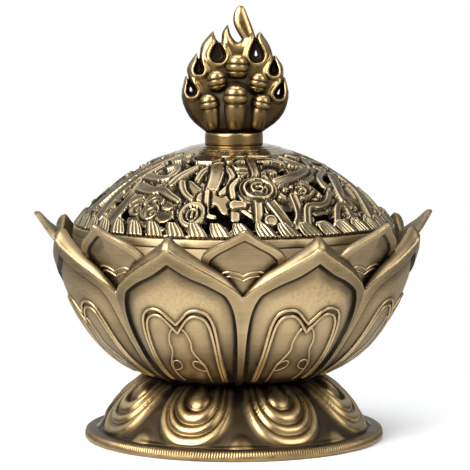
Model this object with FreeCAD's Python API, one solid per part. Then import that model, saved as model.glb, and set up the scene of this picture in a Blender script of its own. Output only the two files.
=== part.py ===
import FreeCAD, Part
import math
import os
from FreeCAD import Vector

# Lotus incense burner with a pierced domed lid and a flaming-jewel finial.
# Millimetres, +Z up, origin on the axis at the table. The front of the burner faces -Y.

# Lotus: eight petals in each ring
PETAL_COUNT = 8
FRONT = -90.0

# Foot
FOOT_RIM_RADIUS = 38.4
FOOT_RIM_EDGE = 2.2
FOOT_RIM_SLOPE = 1.2
FOOT_PETAL_RADIUS = 36.3
FOOT_HEIGHT = 16.5
FOOT_WAIST_RADIUS = 22.5
FOOT_RELIEF = 1.7
FOOT_WALL = 2.4
FOOT_PLATE = 2.7

# Petal cup and bowl
CUP_BASE_RADIUS = 23.5
CUP_TIP_RADIUS = 49.2
CUP_TIP_HEIGHT = 38.7
BELLY_LOW_RADIUS = 37.0
BELLY_LOW_HEIGHT = 5.0
BELLY_HIGH_RADIUS = 44.5
BELLY_HIGH_HEIGHT = 16.5
CUP_WALL = 1.8
CUP_VALLEY = 2.0
CUP_INNER_VALLEY = 1.1
CUP_NOTCH = 0.258
TIP_CURL = 0.8
FIELD_DEPTH = 0.8
RIM_BAND = 3.3
VALLEY_BAND_LOW = 1.0
VALLEY_BAND_HIGH = 3.9
NEST_CLEARANCE = 0.4
RIM_ROUND = 0.9

# Inner petals of the bowl
INNER_TIP_EXTRA = 3.0
INNER_FLARE = 3.0
INNER_PETAL_WALL = 1.7
INNER_NOTCH = 0.20
COLLAR_GROOVE = 0.5
COLLAR_GROOVE_DROP = 8.2

# Fire chamber and lid seat
SEAT_HEIGHT = 36.1
COLLAR_RADIUS = 41.3
CHAMBER_RADIUS = 38.2
CHAMBER_FLOOR_RADIUS = 29.0
CHAMBER_FLOOR = 6.3
CHAMBER_SHOULDER = 27.5

# Lid
SPIGOT_CLEARANCE = 0.35
SPIGOT_WALL = 1.7
SPIGOT_DEPTH = 2.8
BAND_HEIGHT = 2.2
BAND_LEDGE = 0.7
DOME_RADIUS = 50.0
DOME_WALL = 2.0
CROWN_RADIUS = 15.2
CROWN_STEP = 0.5
CROWN_FLAT_RADIUS = 9.0
CROWN_TOP = 1.1
CROWN_BOSS_RADIUS = 9.5
CROWN_BOSS = 3.1
WAVE_COUNT = 44
WAVE_HEIGHT = 4.6
WAVE_RELIEF = 0.8
WAVE_LEAN = 22.0
MEDALLION_RADIUS = 3.2
MEDALLION_WIRE = 0.75

# Collar and finial
FINIAL_COLLAR_RADIUS = 7.4
FINIAL_COLLAR_HEIGHT = 3.2
FINIAL_COLLAR_EDGE = 0.3
FINIAL_BASE_RADIUS = 8.4
FINIAL_BASE_HEIGHT = 1.2
FLAME_FOOT_THICKNESS = 8.6
FLAME_TIP_THICKNESS = 1.6
FLAME_HEIGHT = 32.2
FLAME_CORE_RADIUS = 8.6

# Fasteners
FOOT_SCREW_RADIUS = 2.45
FOOT_HEAD_RADIUS = 4.6
FOOT_HEAD_HEIGHT = 3.3
FOOT_THREAD_DEPTH = 4.6
FOOT_WASHER_RADIUS = 5.5
FOOT_WASHER = 1.0
FOOT_SPRING_WASHER_RADIUS = 4.6
FOOT_SPRING_WASHER = 1.3
FINIAL_SCREW_RADIUS = 1.95
FINIAL_HEAD_RADIUS = 3.6
FINIAL_HEAD_HEIGHT = 2.6
FINIAL_THREAD_DEPTH = 8.0
FINIAL_WASHER_RADIUS = 4.5
FINIAL_WASHER = 0.8
FINIAL_SPRING_WASHER_RADIUS = 3.5
FINIAL_SPRING_WASHER = 1.0
HOLE_CLEARANCE = 0.25
THREAD_CLEARANCE = 0.05
WASHER_CLEARANCE = 0.15
SCREW_END_GAP = 0.6

# Loose pieces in the chamber
MAT_THICKNESS = 1.5
MAT_CLEARANCE = 2.0
HOLDER_RADIUS = 8.0
HOLDER_PLATE = 1.3
HOLDER_HUB_RADIUS = 3.4
HOLDER_HEIGHT = 8.0
STICK_RADIUS = 1.5
STICK_DEPTH = 6.0

# Derived levels and radii
HALF_SECTOR = 180.0 / PETAL_COUNT
CUP_BASE_Z = FOOT_HEIGHT
SEAT_Z = CUP_BASE_Z + SEAT_HEIGHT
CHAMBER_FLOOR_Z = CUP_BASE_Z + CUP_WALL + CHAMBER_FLOOR
NEST_OFFSET = CUP_WALL + CUP_INNER_VALLEY + NEST_CLEARANCE
DOME_FOOT_RADIUS = COLLAR_RADIUS - BAND_LEDGE
BAND_TOP_Z = SEAT_Z + BAND_HEIGHT
DOME_CENTRE_Z = BAND_TOP_Z - math.sqrt(DOME_RADIUS ** 2 - DOME_FOOT_RADIUS ** 2)
DOME_INNER_RADIUS = DOME_RADIUS - DOME_WALL
SPIGOT_RADIUS = CHAMBER_RADIUS - SPIGOT_CLEARANCE
SPIGOT_BORE = SPIGOT_RADIUS - SPIGOT_WALL
AXIS = Vector(0, 0, 1)
ORIGIN = Vector(0, 0, 0)

CUP_PROFILE = (
    (CUP_BASE_RADIUS, CUP_BASE_Z),
    (BELLY_LOW_RADIUS, CUP_BASE_Z + BELLY_LOW_HEIGHT),
    (BELLY_HIGH_RADIUS, CUP_BASE_Z + BELLY_HIGH_HEIGHT),
    (CUP_TIP_RADIUS, CUP_BASE_Z + CUP_TIP_HEIGHT),
)


# Curves and surfaces

def bezier(poles, t):
    """Point (radius, height) at t on a cubic curve."""
    weights = ((1 - t) ** 3, 3 * t * (1 - t) ** 2, 3 * t * t * (1 - t), t ** 3)
    radius = sum(w * p[0] for w, p in zip(weights, poles))
    height = sum(w * p[1] for w, p in zip(weights, poles))
    return radius, height


def bezier_slope(poles, t):
    """Unit direction of travel at t on a cubic curve."""
    weights = (3 * (1 - t) ** 2, 6 * t * (1 - t), 3 * t * t)
    steps = [(b[0] - a[0], b[1] - a[1]) for a, b in zip(poles, poles[1:])]
    along = sum(w * s[0] for w, s in zip(weights, steps))
    up = sum(w * s[1] for w, s in zip(weights, steps))
    size = math.hypot(along, up)
    return along / size, up / size


def smoothstep(low, high, value):
    x = min(1.0, max(0.0, (value - low) / (high - low)))
    return x * x * (3 - 2 * x)


def polar(radius, degrees, height):
    angle = math.radians(degrees)
    return Vector(radius * math.cos(angle), radius * math.sin(angle), height)


def knots(pole_count):
    """Clamped, evenly spaced knots and their multiplicities for a cubic."""
    spans = pole_count - 3
    values = [i / spans for i in range(spans + 1)]
    return values, [4] + [1] * (spans - 1) + [4]


def spline_face(rows):
    """Face of a bicubic surface that has the rows of points as its control net."""
    row_knots, row_mults = knots(len(rows))
    column_knots, column_mults = knots(len(rows[0]))
    surface = Part.BSplineSurface()
    surface.buildFromPolesMultsKnots(
        rows, row_mults, column_mults, row_knots, column_knots, False, False, 3, 3)
    return surface.toShape()


def all_round(half_faces, centre):
    """Copies of the faces of half a petal, mirrored and repeated round the axis."""
    faces = []
    for half in half_faces:
        pair = (half, half.mirror(ORIGIN, Vector(0, 1, 0)))
        for face in pair:
            for k in range(PETAL_COUNT):
                copy = face.copy()
                copy.rotate(ORIGIN, AXIS, centre + k * 360.0 / PETAL_COUNT)
                faces.append(copy)
    return faces


def flat_cap(faces, height):
    """Flat face inside the ring of edges that lie at the given height."""
    edges = []
    for face in faces:
        for edge in face.Edges:
            middle = edge.valueAt((edge.FirstParameter + edge.LastParameter) / 2)
            ends = [vertex.Z for vertex in edge.Vertexes]
            if max(abs(z - height) for z in ends + [middle.z]) < 1e-6:
                edges.append(edge)
    return Part.Face(Part.Wire(Part.__sortEdges__(edges)))


def closed_solid(faces):
    shell = Part.makeShell(faces)
    shell.sewShape()
    solid = Part.makeSolid(shell)
    if solid.Volume < 0:
        solid.reverse()
    return solid


def revolved(points):
    """Solid of revolution of a closed outline of (radius, height) corners."""
    corners = [Vector(r, 0, z) for r, z in points]
    outline = Part.makePolygon(corners + corners[:1])
    return Part.Face(outline).revolve(ORIGIN, AXIS, 360)


def revolved_edges(edges):
    return Part.Face(Part.Wire(edges)).revolve(ORIGIN, AXIS, 360)


def line(a, b):
    return Part.LineSegment(Vector(a[0], 0, a[1]), Vector(b[0], 0, b[1])).toShape()


def curve(poles):
    shape = Part.BezierCurve()
    shape.setPoles([Vector(r, 0, z) for r, z in poles])
    return shape.toShape()


def cylinder(radius, bottom, top):
    return Part.makeCylinder(radius, top - bottom, Vector(0, 0, bottom))


# Outer petal cup

def petal_drop(u):
    """Share of the notch depth by which a petal's edge lies below its tip, an ogee."""
    x = u - 0.5
    return 0.5 + 0.68 * x + 1.28 * x ** 3


def outer_top(u):
    return 1.0 - CUP_NOTCH * petal_drop(u)


def cup_point(u, t, inward, valley):
    """Radius and height of the plain cup at u across a half petal and t up its profile."""
    radius, height = bezier(CUP_PROFILE, t)
    along, up = bezier_slope(CUP_PROFILE, t)
    depth = inward + valley * smoothstep(0.0, 0.5, t)
    curl = TIP_CURL * smoothstep(0.8, 1.0, t) * (1 - u) ** 2
    return radius + curl - depth * up, height + depth * along


def cup_outside(u, t):
    """Point of the cup's outside, which folds sharply in between two petals."""
    radius, height = cup_point(u, t, field_recess(u, t), CUP_VALLEY * u ** 2.2)
    return polar(radius, u * HALF_SECTOR, height)


def cup_inside(u, t):
    """Point of the cup's inside, with a shallower and rounder fold."""
    radius, height = cup_point(u, t, CUP_WALL, CUP_INNER_VALLEY * (1 - math.cos(math.pi * u)) / 2)
    return polar(radius, u * HALF_SECTOR, height)


def field_recess(u, t):
    """Depth of the sunk field inside a petal's raised band."""
    radius, _ = bezier(CUP_PROFILE, t)
    reach = 3 * math.hypot(CUP_TIP_RADIUS - BELLY_HIGH_RADIUS, CUP_TIP_HEIGHT - BELLY_HIGH_HEIGHT)
    to_rim = 0.85 * reach * (outer_top(u) - t) / RIM_BAND
    width = VALLEY_BAND_LOW + (VALLEY_BAND_HIGH - VALLEY_BAND_LOW) * t / (1 - CUP_NOTCH)
    to_valley = radius * math.radians(HALF_SECTOR) * (1 - u) / width
    nearest = 1 / math.sqrt(1 / max(to_rim, 0.01) ** 2 + 1 / max(to_valley, 0.01) ** 2)
    foot = smoothstep(0.0, 0.08, t)
    return FIELD_DEPTH * smoothstep(0.75, 1.15, nearest) * foot


def rim_rows(outer_row, inner_row, slopes):
    """Net of the rounded edge between the outer and inner edge of a petal."""
    lifted = []
    for row in (outer_row, inner_row):
        lifted.append([point + slope * RIM_ROUND for point, slope in zip(row, slopes)])
    return [outer_row, lifted[0], lifted[1], inner_row]


def outer_petal_cup():
    columns = 18
    across = [i / (columns - 1) for i in range(columns)]
    outer = [[cup_outside(u, j / 39 * outer_top(u)) for u in across] for j in range(40)]
    inner = [[cup_inside(u, j / 13 * outer_top(u)) for u in across] for j in range(14)]
    slopes = []
    for u in across:
        along, up = bezier_slope(CUP_PROFILE, outer_top(u))
        slopes.append(polar(along, u * HALF_SECTOR, up))
    halves = [spline_face(outer), spline_face(inner), spline_face(rim_rows(outer[-1], inner[-1], slopes))]
    faces = all_round(halves, FRONT + HALF_SECTOR)
    floor = inner[0][0].z
    caps = [flat_cap(faces, CUP_BASE_Z), flat_cap(faces, floor)]
    cup = closed_solid(faces + caps)
    hole = cylinder(FOOT_SCREW_RADIUS + HOLE_CLEARANCE, CUP_BASE_Z - 1, floor + 1)
    return cup.cut(hole)


def cup_floor_z():
    """Height of the flat floor inside the outer cup, where the bowl's pad sits."""
    return cup_inside(0.0, 0.0).z


# Inner fire bowl

def inner_top(u):
    """Top of an inner petal: sloping sides to the shoulders, then down to the gap between petals."""
    side = 0.72 * u
    return inner_tip() - INNER_NOTCH * (side + (1 - side) * smoothstep(0.5, 0.76, u))


def inner_tip():
    """Place of the inner tips on the cup's profile, run on past the outer tips."""
    reach = 3 * (CUP_TIP_HEIGHT - BELLY_HIGH_HEIGHT)
    return 1.0 + INNER_TIP_EXTRA / reach


def bowl_point(u, t, inward):
    radius, height = bezier(CUP_PROFILE, t)
    along, up = bezier_slope(CUP_PROFILE, t)
    offset = NEST_OFFSET + inward
    start = 1.0 - CUP_NOTCH + 0.06
    rise = max(0.0, (t - start) / (inner_tip() - start))
    flare = INNER_FLARE * rise ** 1.6
    return radius + flare - offset * up, height + offset * along


def groove_level():
    return SEAT_Z - COLLAR_GROOVE_DROP


def inner_fire_bowl():
    columns = 20
    across = [i / (columns - 1) for i in range(columns)]
    outer, back = [], []
    for v in [j / 23 for j in range(24)]:
        row = []
        for u in across:
            radius, height = bowl_point(u, v * inner_top(u), 0.0)
            row.append(polar(radius, u * HALF_SECTOR, height))
        outer.append(row)
    groove = groove_level()
    groove_radius = COLLAR_RADIUS + COLLAR_GROOVE
    tops = [bowl_point(u, inner_top(u), INNER_PETAL_WALL) for u in across]
    for v in [j / 7 for j in range(8)]:
        row = []
        for u, top in zip(across, tops):
            radius = top[0] + (groove_radius - top[0]) * v
            height = top[1] + (groove - top[1]) * v
            row.append(polar(radius, u * HALF_SECTOR, height))
        back.append(row)
    slopes = []
    for u in across:
        along, up = bezier_slope(CUP_PROFILE, inner_top(u))
        slopes.append(polar(along, u * HALF_SECTOR, up))
    halves = [spline_face(outer), spline_face(back), spline_face(rim_rows(outer[-1], back[0], slopes))]
    faces = all_round(halves, FRONT)
    base = outer[0][0].z
    caps = [flat_cap(faces, base), flat_cap(faces, groove)]
    bowl = closed_solid(faces + caps)
    pad_radius = outer[0][0].x - CUP_WALL
    floor = cup_floor_z()
    collar = cylinder(COLLAR_RADIUS, groove, SEAT_Z)
    pad = cylinder(pad_radius, floor, base)
    bowl = bowl.fuse([collar, pad])
    thread = cylinder(FOOT_SCREW_RADIUS + THREAD_CLEARANCE, floor - 1, floor + FOOT_THREAD_DEPTH)
    return bowl.cut([chamber(), thread])


def chamber():
    """Space inside the bowl: flat floor, curved wall, straight mouth."""
    shoulder = CUP_BASE_Z + CHAMBER_SHOULDER
    rise = shoulder - CHAMBER_FLOOR_Z
    wall = curve([
        (CHAMBER_FLOOR_RADIUS, CHAMBER_FLOOR_Z),
        (CHAMBER_FLOOR_RADIUS + 0.6 * (CHAMBER_RADIUS - CHAMBER_FLOOR_RADIUS), CHAMBER_FLOOR_Z + 0.2 * rise),
        (CHAMBER_RADIUS, CHAMBER_FLOOR_Z + 0.6 * rise),
        (CHAMBER_RADIUS, shoulder),
    ])
    top = SEAT_Z + 1
    return revolved_edges([
        line((0, CHAMBER_FLOOR_Z), (CHAMBER_FLOOR_RADIUS, CHAMBER_FLOOR_Z)),
        wall,
        line((CHAMBER_RADIUS, shoulder), (CHAMBER_RADIUS, top)),
        line((CHAMBER_RADIUS, top), (0, top)),
        line((0, top), (0, CHAMBER_FLOOR_Z)),
    ])


# Foot

FOOT_BASE_Z = FOOT_RIM_EDGE + FOOT_RIM_SLOPE
FOOT_PROFILE = (
    (FOOT_WAIST_RADIUS, FOOT_HEIGHT),
    (0.53 * FOOT_WAIST_RADIUS + 0.47 * FOOT_PETAL_RADIUS, FOOT_BASE_Z + 0.73 * (FOOT_HEIGHT - FOOT_BASE_Z)),
    (FOOT_PETAL_RADIUS, FOOT_BASE_Z + 0.42 * (FOOT_HEIGHT - FOOT_BASE_Z)),
    (FOOT_PETAL_RADIUS, FOOT_BASE_Z),
)


def foot_ridges(u, t):
    """Relief of a down-turned petal: a drop-shaped boss inside three nested ridges."""
    side = u / 0.86
    end = max(0.0, (t - 0.42) / 0.50)
    ring = math.hypot(side, end)
    level = 1.0 - smoothstep(0.90, 1.06, ring)
    ridge = 0.5 + 0.5 * math.cos(2 * math.pi * (ring - 0.12) / 0.27)
    swell = 0.45 + 0.25 * (1 - min(1.0, ring)) + 0.30 * ridge
    fade = smoothstep(0.0, 0.12, t) * (1 - smoothstep(0.94, 1.0, t))
    return FOOT_RELIEF * level * swell * fade


def lotus_foot():
    columns = 18
    rows = []
    for t in [j / 33 for j in range(34)]:
        row = []
        for u in [i / (columns - 1) for i in range(columns)]:
            radius, height = bezier(FOOT_PROFILE, t)
            along, up = bezier_slope(FOOT_PROFILE, t)
            sunk = (FOOT_RELIEF - foot_ridges(u, t)) * smoothstep(0.0, 0.1, t)
            fixed = t in (0.0, 1.0)
            height = height if fixed else height - sunk * along
            row.append(polar(radius + sunk * up, u * HALF_SECTOR, height))
        rows.append(row)
    faces = all_round([spline_face(rows)], FRONT + HALF_SECTOR)
    petals = closed_solid(faces + [flat_cap(faces, FOOT_HEIGHT), flat_cap(faces, FOOT_BASE_Z)])
    edge = 0.3
    rim = revolved([
        (0, 0),
        (FOOT_RIM_RADIUS - edge, 0),
        (FOOT_RIM_RADIUS, edge),
        (FOOT_RIM_RADIUS, FOOT_RIM_EDGE),
        (FOOT_RIM_RADIUS - FOOT_RIM_SLOPE, FOOT_BASE_Z),
        (0, FOOT_BASE_Z),
    ])
    hole = cylinder(FOOT_SCREW_RADIUS + HOLE_CLEARANCE, 0, FOOT_HEIGHT + 1)
    return petals.fuse(rim).cut([foot_hollow(), hole])


def foot_hollow():
    """Open underside of the foot, following its profile one wall in."""
    inset = FOOT_WALL + FOOT_RELIEF
    top = FOOT_HEIGHT - FOOT_PLATE
    poles = [(r - inset, z) for r, z in FOOT_PROFILE]
    poles[0] = (FOOT_WAIST_RADIUS - inset, top)
    poles[1] = (poles[1][0], min(poles[1][1] - inset / 2, top))
    mouth = poles[3][0]
    return revolved_edges([
        line((0, -1), (mouth, -1)),
        line((mouth, -1), poles[3]),
        curve(poles[::-1]),
        line(poles[0], (0, top)),
        line((0, top), (0, -1)),
    ])


# Lid

def dome_z(radius, sphere=DOME_RADIUS):
    return DOME_CENTRE_Z + math.sqrt(sphere ** 2 - radius ** 2)


CROWN_EDGE_Z = dome_z(CROWN_RADIUS) + CROWN_STEP
CROWN_TOP_Z = dome_z(0) - DOME_WALL + CROWN_TOP + CROWN_STEP
CROWN_UNDER_Z = CROWN_TOP_Z - CROWN_BOSS


def dome_arc(sphere, start, end):
    """Arc of the dome's section between two radii."""
    middle = (start + end) / 2
    points = [Vector(r, 0, dome_z(r, sphere)) for r in (start, middle, end)]
    return Part.Arc(*points).toShape()


def lid_shell():
    inner_start = SPIGOT_BORE + 0.7
    inner_end = CROWN_BOSS_RADIUS + 2.5
    bore = FINIAL_SCREW_RADIUS + HOLE_CLEARANCE
    outer_corners = [
        (bore, CROWN_TOP_Z),
        (CROWN_FLAT_RADIUS, CROWN_TOP_Z),
        (CROWN_RADIUS, CROWN_EDGE_Z),
        (CROWN_RADIUS, dome_z(CROWN_RADIUS)),
    ]
    rim_corners = [
        (DOME_FOOT_RADIUS, BAND_TOP_Z),
        (COLLAR_RADIUS, BAND_TOP_Z - 0.3),
        (COLLAR_RADIUS, SEAT_Z),
        (SPIGOT_RADIUS, SEAT_Z),
        (SPIGOT_RADIUS, SEAT_Z - SPIGOT_DEPTH),
        (SPIGOT_BORE, SEAT_Z - SPIGOT_DEPTH),
        (SPIGOT_BORE, BAND_TOP_Z),
        (inner_start, dome_z(inner_start, DOME_INNER_RADIUS)),
    ]
    boss_corners = [
        (inner_end, dome_z(inner_end, DOME_INNER_RADIUS)),
        (CROWN_BOSS_RADIUS, CROWN_UNDER_Z),
        (bore, CROWN_UNDER_Z),
        (bore, CROWN_TOP_Z),
    ]
    edges = [line(a, b) for a, b in zip(outer_corners, outer_corners[1:])]
    edges.append(dome_arc(DOME_RADIUS, CROWN_RADIUS, DOME_FOOT_RADIUS))
    edges += [line(a, b) for a, b in zip(rim_corners, rim_corners[1:])]
    edges.append(dome_arc(DOME_INNER_RADIUS, inner_start, inner_end))
    edges += [line(a, b) for a, b in zip(boss_corners, boss_corners[1:])]
    return revolved_edges(edges)


def on_dome(shape, azimuth, tilt):
    """Moves a shape made at the top of the dome to an azimuth and a tilt from the axis."""
    centre = Vector(0, 0, DOME_CENTRE_Z)
    shape.rotate(centre, Vector(1, 0, 0), tilt)
    shape.rotate(centre, AXIS, azimuth - FRONT)
    return shape


def drop_face(size, length, bend, turn):
    """Flat face with the outline of a curved drop, round at one end and pointed at the other."""
    tip = Vector(length, bend, 0)
    left, right, back = Vector(0, size, 0), Vector(0, -size, 0), Vector(-size, 0, 0)
    sag = Vector(0, -0.35 * bend, 0)
    edges = [
        Part.Arc(left, (left + tip) * 0.5 + sag + Vector(0, 0.35 * size, 0), tip).toShape(),
        Part.Arc(tip, (right + tip) * 0.5 + sag, right).toShape(),
        Part.Arc(right, back, left).toShape(),
    ]
    face = Part.Face(Part.Wire(edges))
    face.rotate(ORIGIN, AXIS, turn)
    return face


def dome_cutter(size, length, bend, turn):
    """Drop-shaped cutter through the top of the dome."""
    reach = 2 * DOME_WALL
    cutter = drop_face(size, length, bend, turn).extrude(Vector(0, 0, 2 * reach))
    cutter.translate(Vector(0, 0, DOME_CENTRE_Z + DOME_RADIUS - reach))
    return cutter


# Openings of one sector: azimuth, tilt from the axis, size, length, bend, turn
CLOUD_HOLES = (
    (-14.0, 20.6, 0.9, 3.2, 0.4, 5.0),
    (6.0, 20.6, 0.9, 3.2, -0.4, -5.0),
    (-16.0, 25.2, 1.7, 5.0, 1.3, 8.0),
    (6.5, 25.4, 1.7, 5.0, -1.3, -8.0),
    (-15.0, 31.0, 2.15, 5.2, -1.6, 250.0),
    (14.5, 34.6, 2.15, 5.4, 1.6, 70.0),
    (-8.0, 38.0, 1.3, 3.4, 0.8, 160.0),
    (21.5, 38.6, 1.3, 3.4, 0.8, 10.0),
    (2.2, 39.0, 0.8, 2.6, 0.3, 5.0),
    (-18.0, 43.4, 2.2, 6.0, 1.4, 15.0),
    (-3.2, 42.4, 1.7, 4.4, -1.0, 75.0),
    (6.0, 43.8, 2.2, 6.2, 1.5, 8.0),
    (20.2, 44.6, 1.1, 2.6, 0.4, 88.0),
)
MEDALLION_TILT = 32.5


def wave_lappet():
    """One leaning wave of the ring above the band, made at the top of the dome."""
    width = 2 * math.pi * DOME_FOOT_RADIUS / WAVE_COUNT
    half = 0.46 * width
    left, right = Vector(-half, 0, 0), Vector(half, 0, 0)
    tip = Vector(-0.1 * width, WAVE_HEIGHT, 0)
    lean = Vector(-math.tan(math.radians(WAVE_LEAN)) * WAVE_HEIGHT / 2, 0, 0)
    edges = [
        Part.LineSegment(left, right).toShape(),
        Part.Arc(right, Vector(0.8 * half, 0.62 * WAVE_HEIGHT, 0) + lean * 0.3, tip + lean).toShape(),
        Part.Arc(tip + lean, Vector(-1.1 * half, 0.55 * WAVE_HEIGHT, 0) + lean * 0.5, left).toShape(),
    ]
    leaf = Part.Face(Part.Wire(edges)).extrude(Vector(0, 0, WAVE_RELIEF + 1))
    leaf.translate(Vector(0, 0, DOME_CENTRE_Z + DOME_RADIUS - 1))
    return leaf


def lid_dome():
    holes, raised = [], []
    for k in range(PETAL_COUNT):
        sector = FRONT + k * 360.0 / PETAL_COUNT
        for azimuth, tilt, size, length, bend, turn in CLOUD_HOLES:
            holes.append(on_dome(dome_cutter(size, length, bend, turn), sector + azimuth, tilt))
        ring = Part.makeTorus(MEDALLION_RADIUS, MEDALLION_WIRE, Vector(0, 0, DOME_CENTRE_Z + DOME_RADIUS))
        raised.append(on_dome(ring, sector, MEDALLION_TILT))
    foot_tilt = math.degrees(math.asin(DOME_FOOT_RADIUS / DOME_RADIUS))
    for k in range(WAVE_COUNT):
        raised.append(on_dome(wave_lappet(), FRONT + k * 360.0 / WAVE_COUNT, foot_tilt - 0.6))
    return lid_shell().cut(holes).fuse(raised)


# Collar and finial

COLLAR_TOP_Z = CROWN_TOP_Z + FINIAL_COLLAR_HEIGHT


def finial_collar():
    bore = FINIAL_SCREW_RADIUS + HOLE_CLEARANCE
    edge = FINIAL_COLLAR_RADIUS - FINIAL_COLLAR_EDGE
    return revolved([
        (bore, CROWN_TOP_Z),
        (FINIAL_COLLAR_RADIUS, CROWN_TOP_Z),
        (FINIAL_COLLAR_RADIUS, COLLAR_TOP_Z - FINIAL_COLLAR_EDGE),
        (edge, COLLAR_TOP_Z),
        (bore, COLLAR_TOP_Z),
    ])


# Strokes of the flame's edge as (x, height above the collar), each from one sharp corner to the next
FLAME_STROKES = (
    ((-8.0, 0.4), (-11.8, 4.4), (-13.6, 9.6), (-12.4, 14.2)),
    ((-12.4, 14.2), (-11.7, 13.4)),
    ((-11.7, 13.4), (-12.0, 16.6), (-9.5, 20.0)),
    ((-9.5, 20.0), (-8.7, 19.2)),
    ((-8.7, 19.2), (-8.2, 22.2), (-5.4, 25.4)),
    ((-5.4, 25.4), (-5.0, 24.2), (-3.7, 23.8)),
    ((-3.7, 23.8), (-2.9, 25.0), (-1.6, 27.2)),
    ((-1.6, 27.2), (-1.2, 24.4), (1.0, 22.5)),
    ((1.0, 22.5), (1.9, 24.2), (0.0, 27.4), (-0.1, 29.6), (1.4, 32.2)),
    ((1.4, 32.2), (3.5, 29.0), (4.7, 26.4), (5.7, 23.6)),
    ((5.7, 23.6), (6.7, 25.2)),
    ((6.7, 25.2), (8.9, 22.0), (9.8, 19.3)),
    ((9.8, 19.3), (10.8, 19.2)),
    ((10.8, 19.2), (12.2, 16.6), (12.0, 13.0)),
    ((12.0, 13.0), (13.0, 13.0)),
    ((13.0, 13.0), (13.6, 9.4), (11.8, 4.4), (8.0, 0.4)),
    ((8.0, 0.4), (-8.0, 0.4)),
)
# Openings between the tongues: x, height above the collar, size, length, bend, turn
FLAME_HOLES = (
    (-10.9, 8.9, 0.95, 3.6, 0.3, 78.0),
    (10.9, 8.6, 0.95, 3.4, -0.3, 100.0),
    (-9.0, 15.4, 0.85, 3.0, 0.3, 70.0),
    (9.7, 15.0, 0.85, 2.8, -0.3, 108.0),
    (-4.6, 19.4, 0.85, 3.4, 0.3, 62.0),
    (6.0, 19.2, 0.9, 3.4, -0.3, 106.0),
)
# Buds of the jewel on each side: x, height of the widest place, radius, length, lean, distance forward
FLAME_BUDS = (
    (0.0, 8.2, 3.1, 10.6, 0.0, 7.4),
    (-6.6, 6.6, 2.5, 8.4, -9.0, 5.6),
    (6.6, 6.6, 2.5, 8.4, 9.0, 5.6),
    (-4.9, 12.6, 2.6, 5.6, -16.0, 5.0),
    (5.6, 12.2, 2.6, 5.6, 16.0, 5.0),
    (0.3, 16.8, 2.9, 6.0, 0.0, 4.2),
)


def stroke(points):
    places = [Vector(x, 0, COLLAR_TOP_Z + z) for x, z in points]
    if len(places) == 2:
        return Part.LineSegment(*places).toShape()
    path = Part.BSplineCurve()
    path.interpolate(places)
    return path.toShape()


def flame_side():
    """Block with the finial's side outline: thick at the foot, thin at the tip."""
    foot, tip = FLAME_FOOT_THICKNESS / 2, FLAME_TIP_THICKNESS / 2
    edge = curve([(foot, 0), (1.15 * foot, 0.4 * FLAME_HEIGHT), (0.5 * foot, 0.7 * FLAME_HEIGHT),
                  (tip, FLAME_HEIGHT)])
    back = edge.mirror(ORIGIN, Vector(1, 0, 0))
    top = line((tip, FLAME_HEIGHT), (-tip, FLAME_HEIGHT))
    bottom = line((-foot, 0), (foot, 0))
    outline = Part.Wire([edge, top, back, bottom])
    reach = CUP_TIP_RADIUS
    block = Part.Face(outline).extrude(Vector(0, 2 * reach, 0))
    block.translate(Vector(0, -reach, COLLAR_TOP_Z))
    block.rotate(ORIGIN, AXIS, 90)
    return block


def flame_plate():
    outline = Part.Wire([stroke(points) for points in FLAME_STROKES])
    plate = Part.Face(outline).extrude(Vector(0, 2 * FLAME_FOOT_THICKNESS, 0))
    plate.translate(Vector(0, -FLAME_FOOT_THICKNESS, 0))
    cutters = []
    for x, height, size, length, bend, turn in FLAME_HOLES:
        cutter = drop_face(size, length, bend, turn).extrude(Vector(0, 0, 4 * FLAME_FOOT_THICKNESS))
        cutter.translate(Vector(0, 0, -2 * FLAME_FOOT_THICKNESS))
        cutter.rotate(ORIGIN, Vector(1, 0, 0), 90)
        cutter.translate(Vector(x, 0, COLLAR_TOP_Z + height))
        cutters.append(cutter)
    return plate.common(flame_side()).cut(cutters)


def bud(x, height, radius, length, lean, forward):
    """Egg-shaped bud with a pair of grooved bands, on a stem end."""
    low, high = -0.62 * length, 0.38 * length
    profile = curve([(0.62 * radius, low), (1.05 * radius, 0.4 * low), (1.3 * radius, 0.9 * high), (0, high)])
    body = revolved_edges([
        line((0, low), (0.62 * radius, low)),
        profile,
        line((0, high), (0, low)),
    ])
    body.rotate(ORIGIN, Vector(0, 1, 0), lean)
    body.translate(Vector(x, -forward, COLLAR_TOP_Z + height))
    return body


def flame_finial():
    base_top = COLLAR_TOP_Z + FINIAL_BASE_HEIGHT
    core = revolved_edges([
        line((0, COLLAR_TOP_Z), (FINIAL_BASE_RADIUS, COLLAR_TOP_Z)),
        line((FINIAL_BASE_RADIUS, COLLAR_TOP_Z), (FINIAL_BASE_RADIUS, base_top)),
        curve([
            (FINIAL_BASE_RADIUS, base_top),
            (FLAME_CORE_RADIUS + 1.2, base_top + 7),
            (FLAME_CORE_RADIUS - 1.6, base_top + 14),
            (0, base_top + 17),
        ]),
        line((0, base_top + 17), (0, COLLAR_TOP_Z)),
    ])
    buds = []
    for values in FLAME_BUDS:
        front = bud(*values)
        back = front.copy()
        back.rotate(ORIGIN, AXIS, 180)
        buds += [front, back]
    finial = core.fuse([flame_plate()] + buds)
    thread = cylinder(FINIAL_SCREW_RADIUS + THREAD_CLEARANCE, COLLAR_TOP_Z - 1,
                      COLLAR_TOP_Z + FINIAL_THREAD_DEPTH)
    return finial.cut(thread)


# Fasteners

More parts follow.
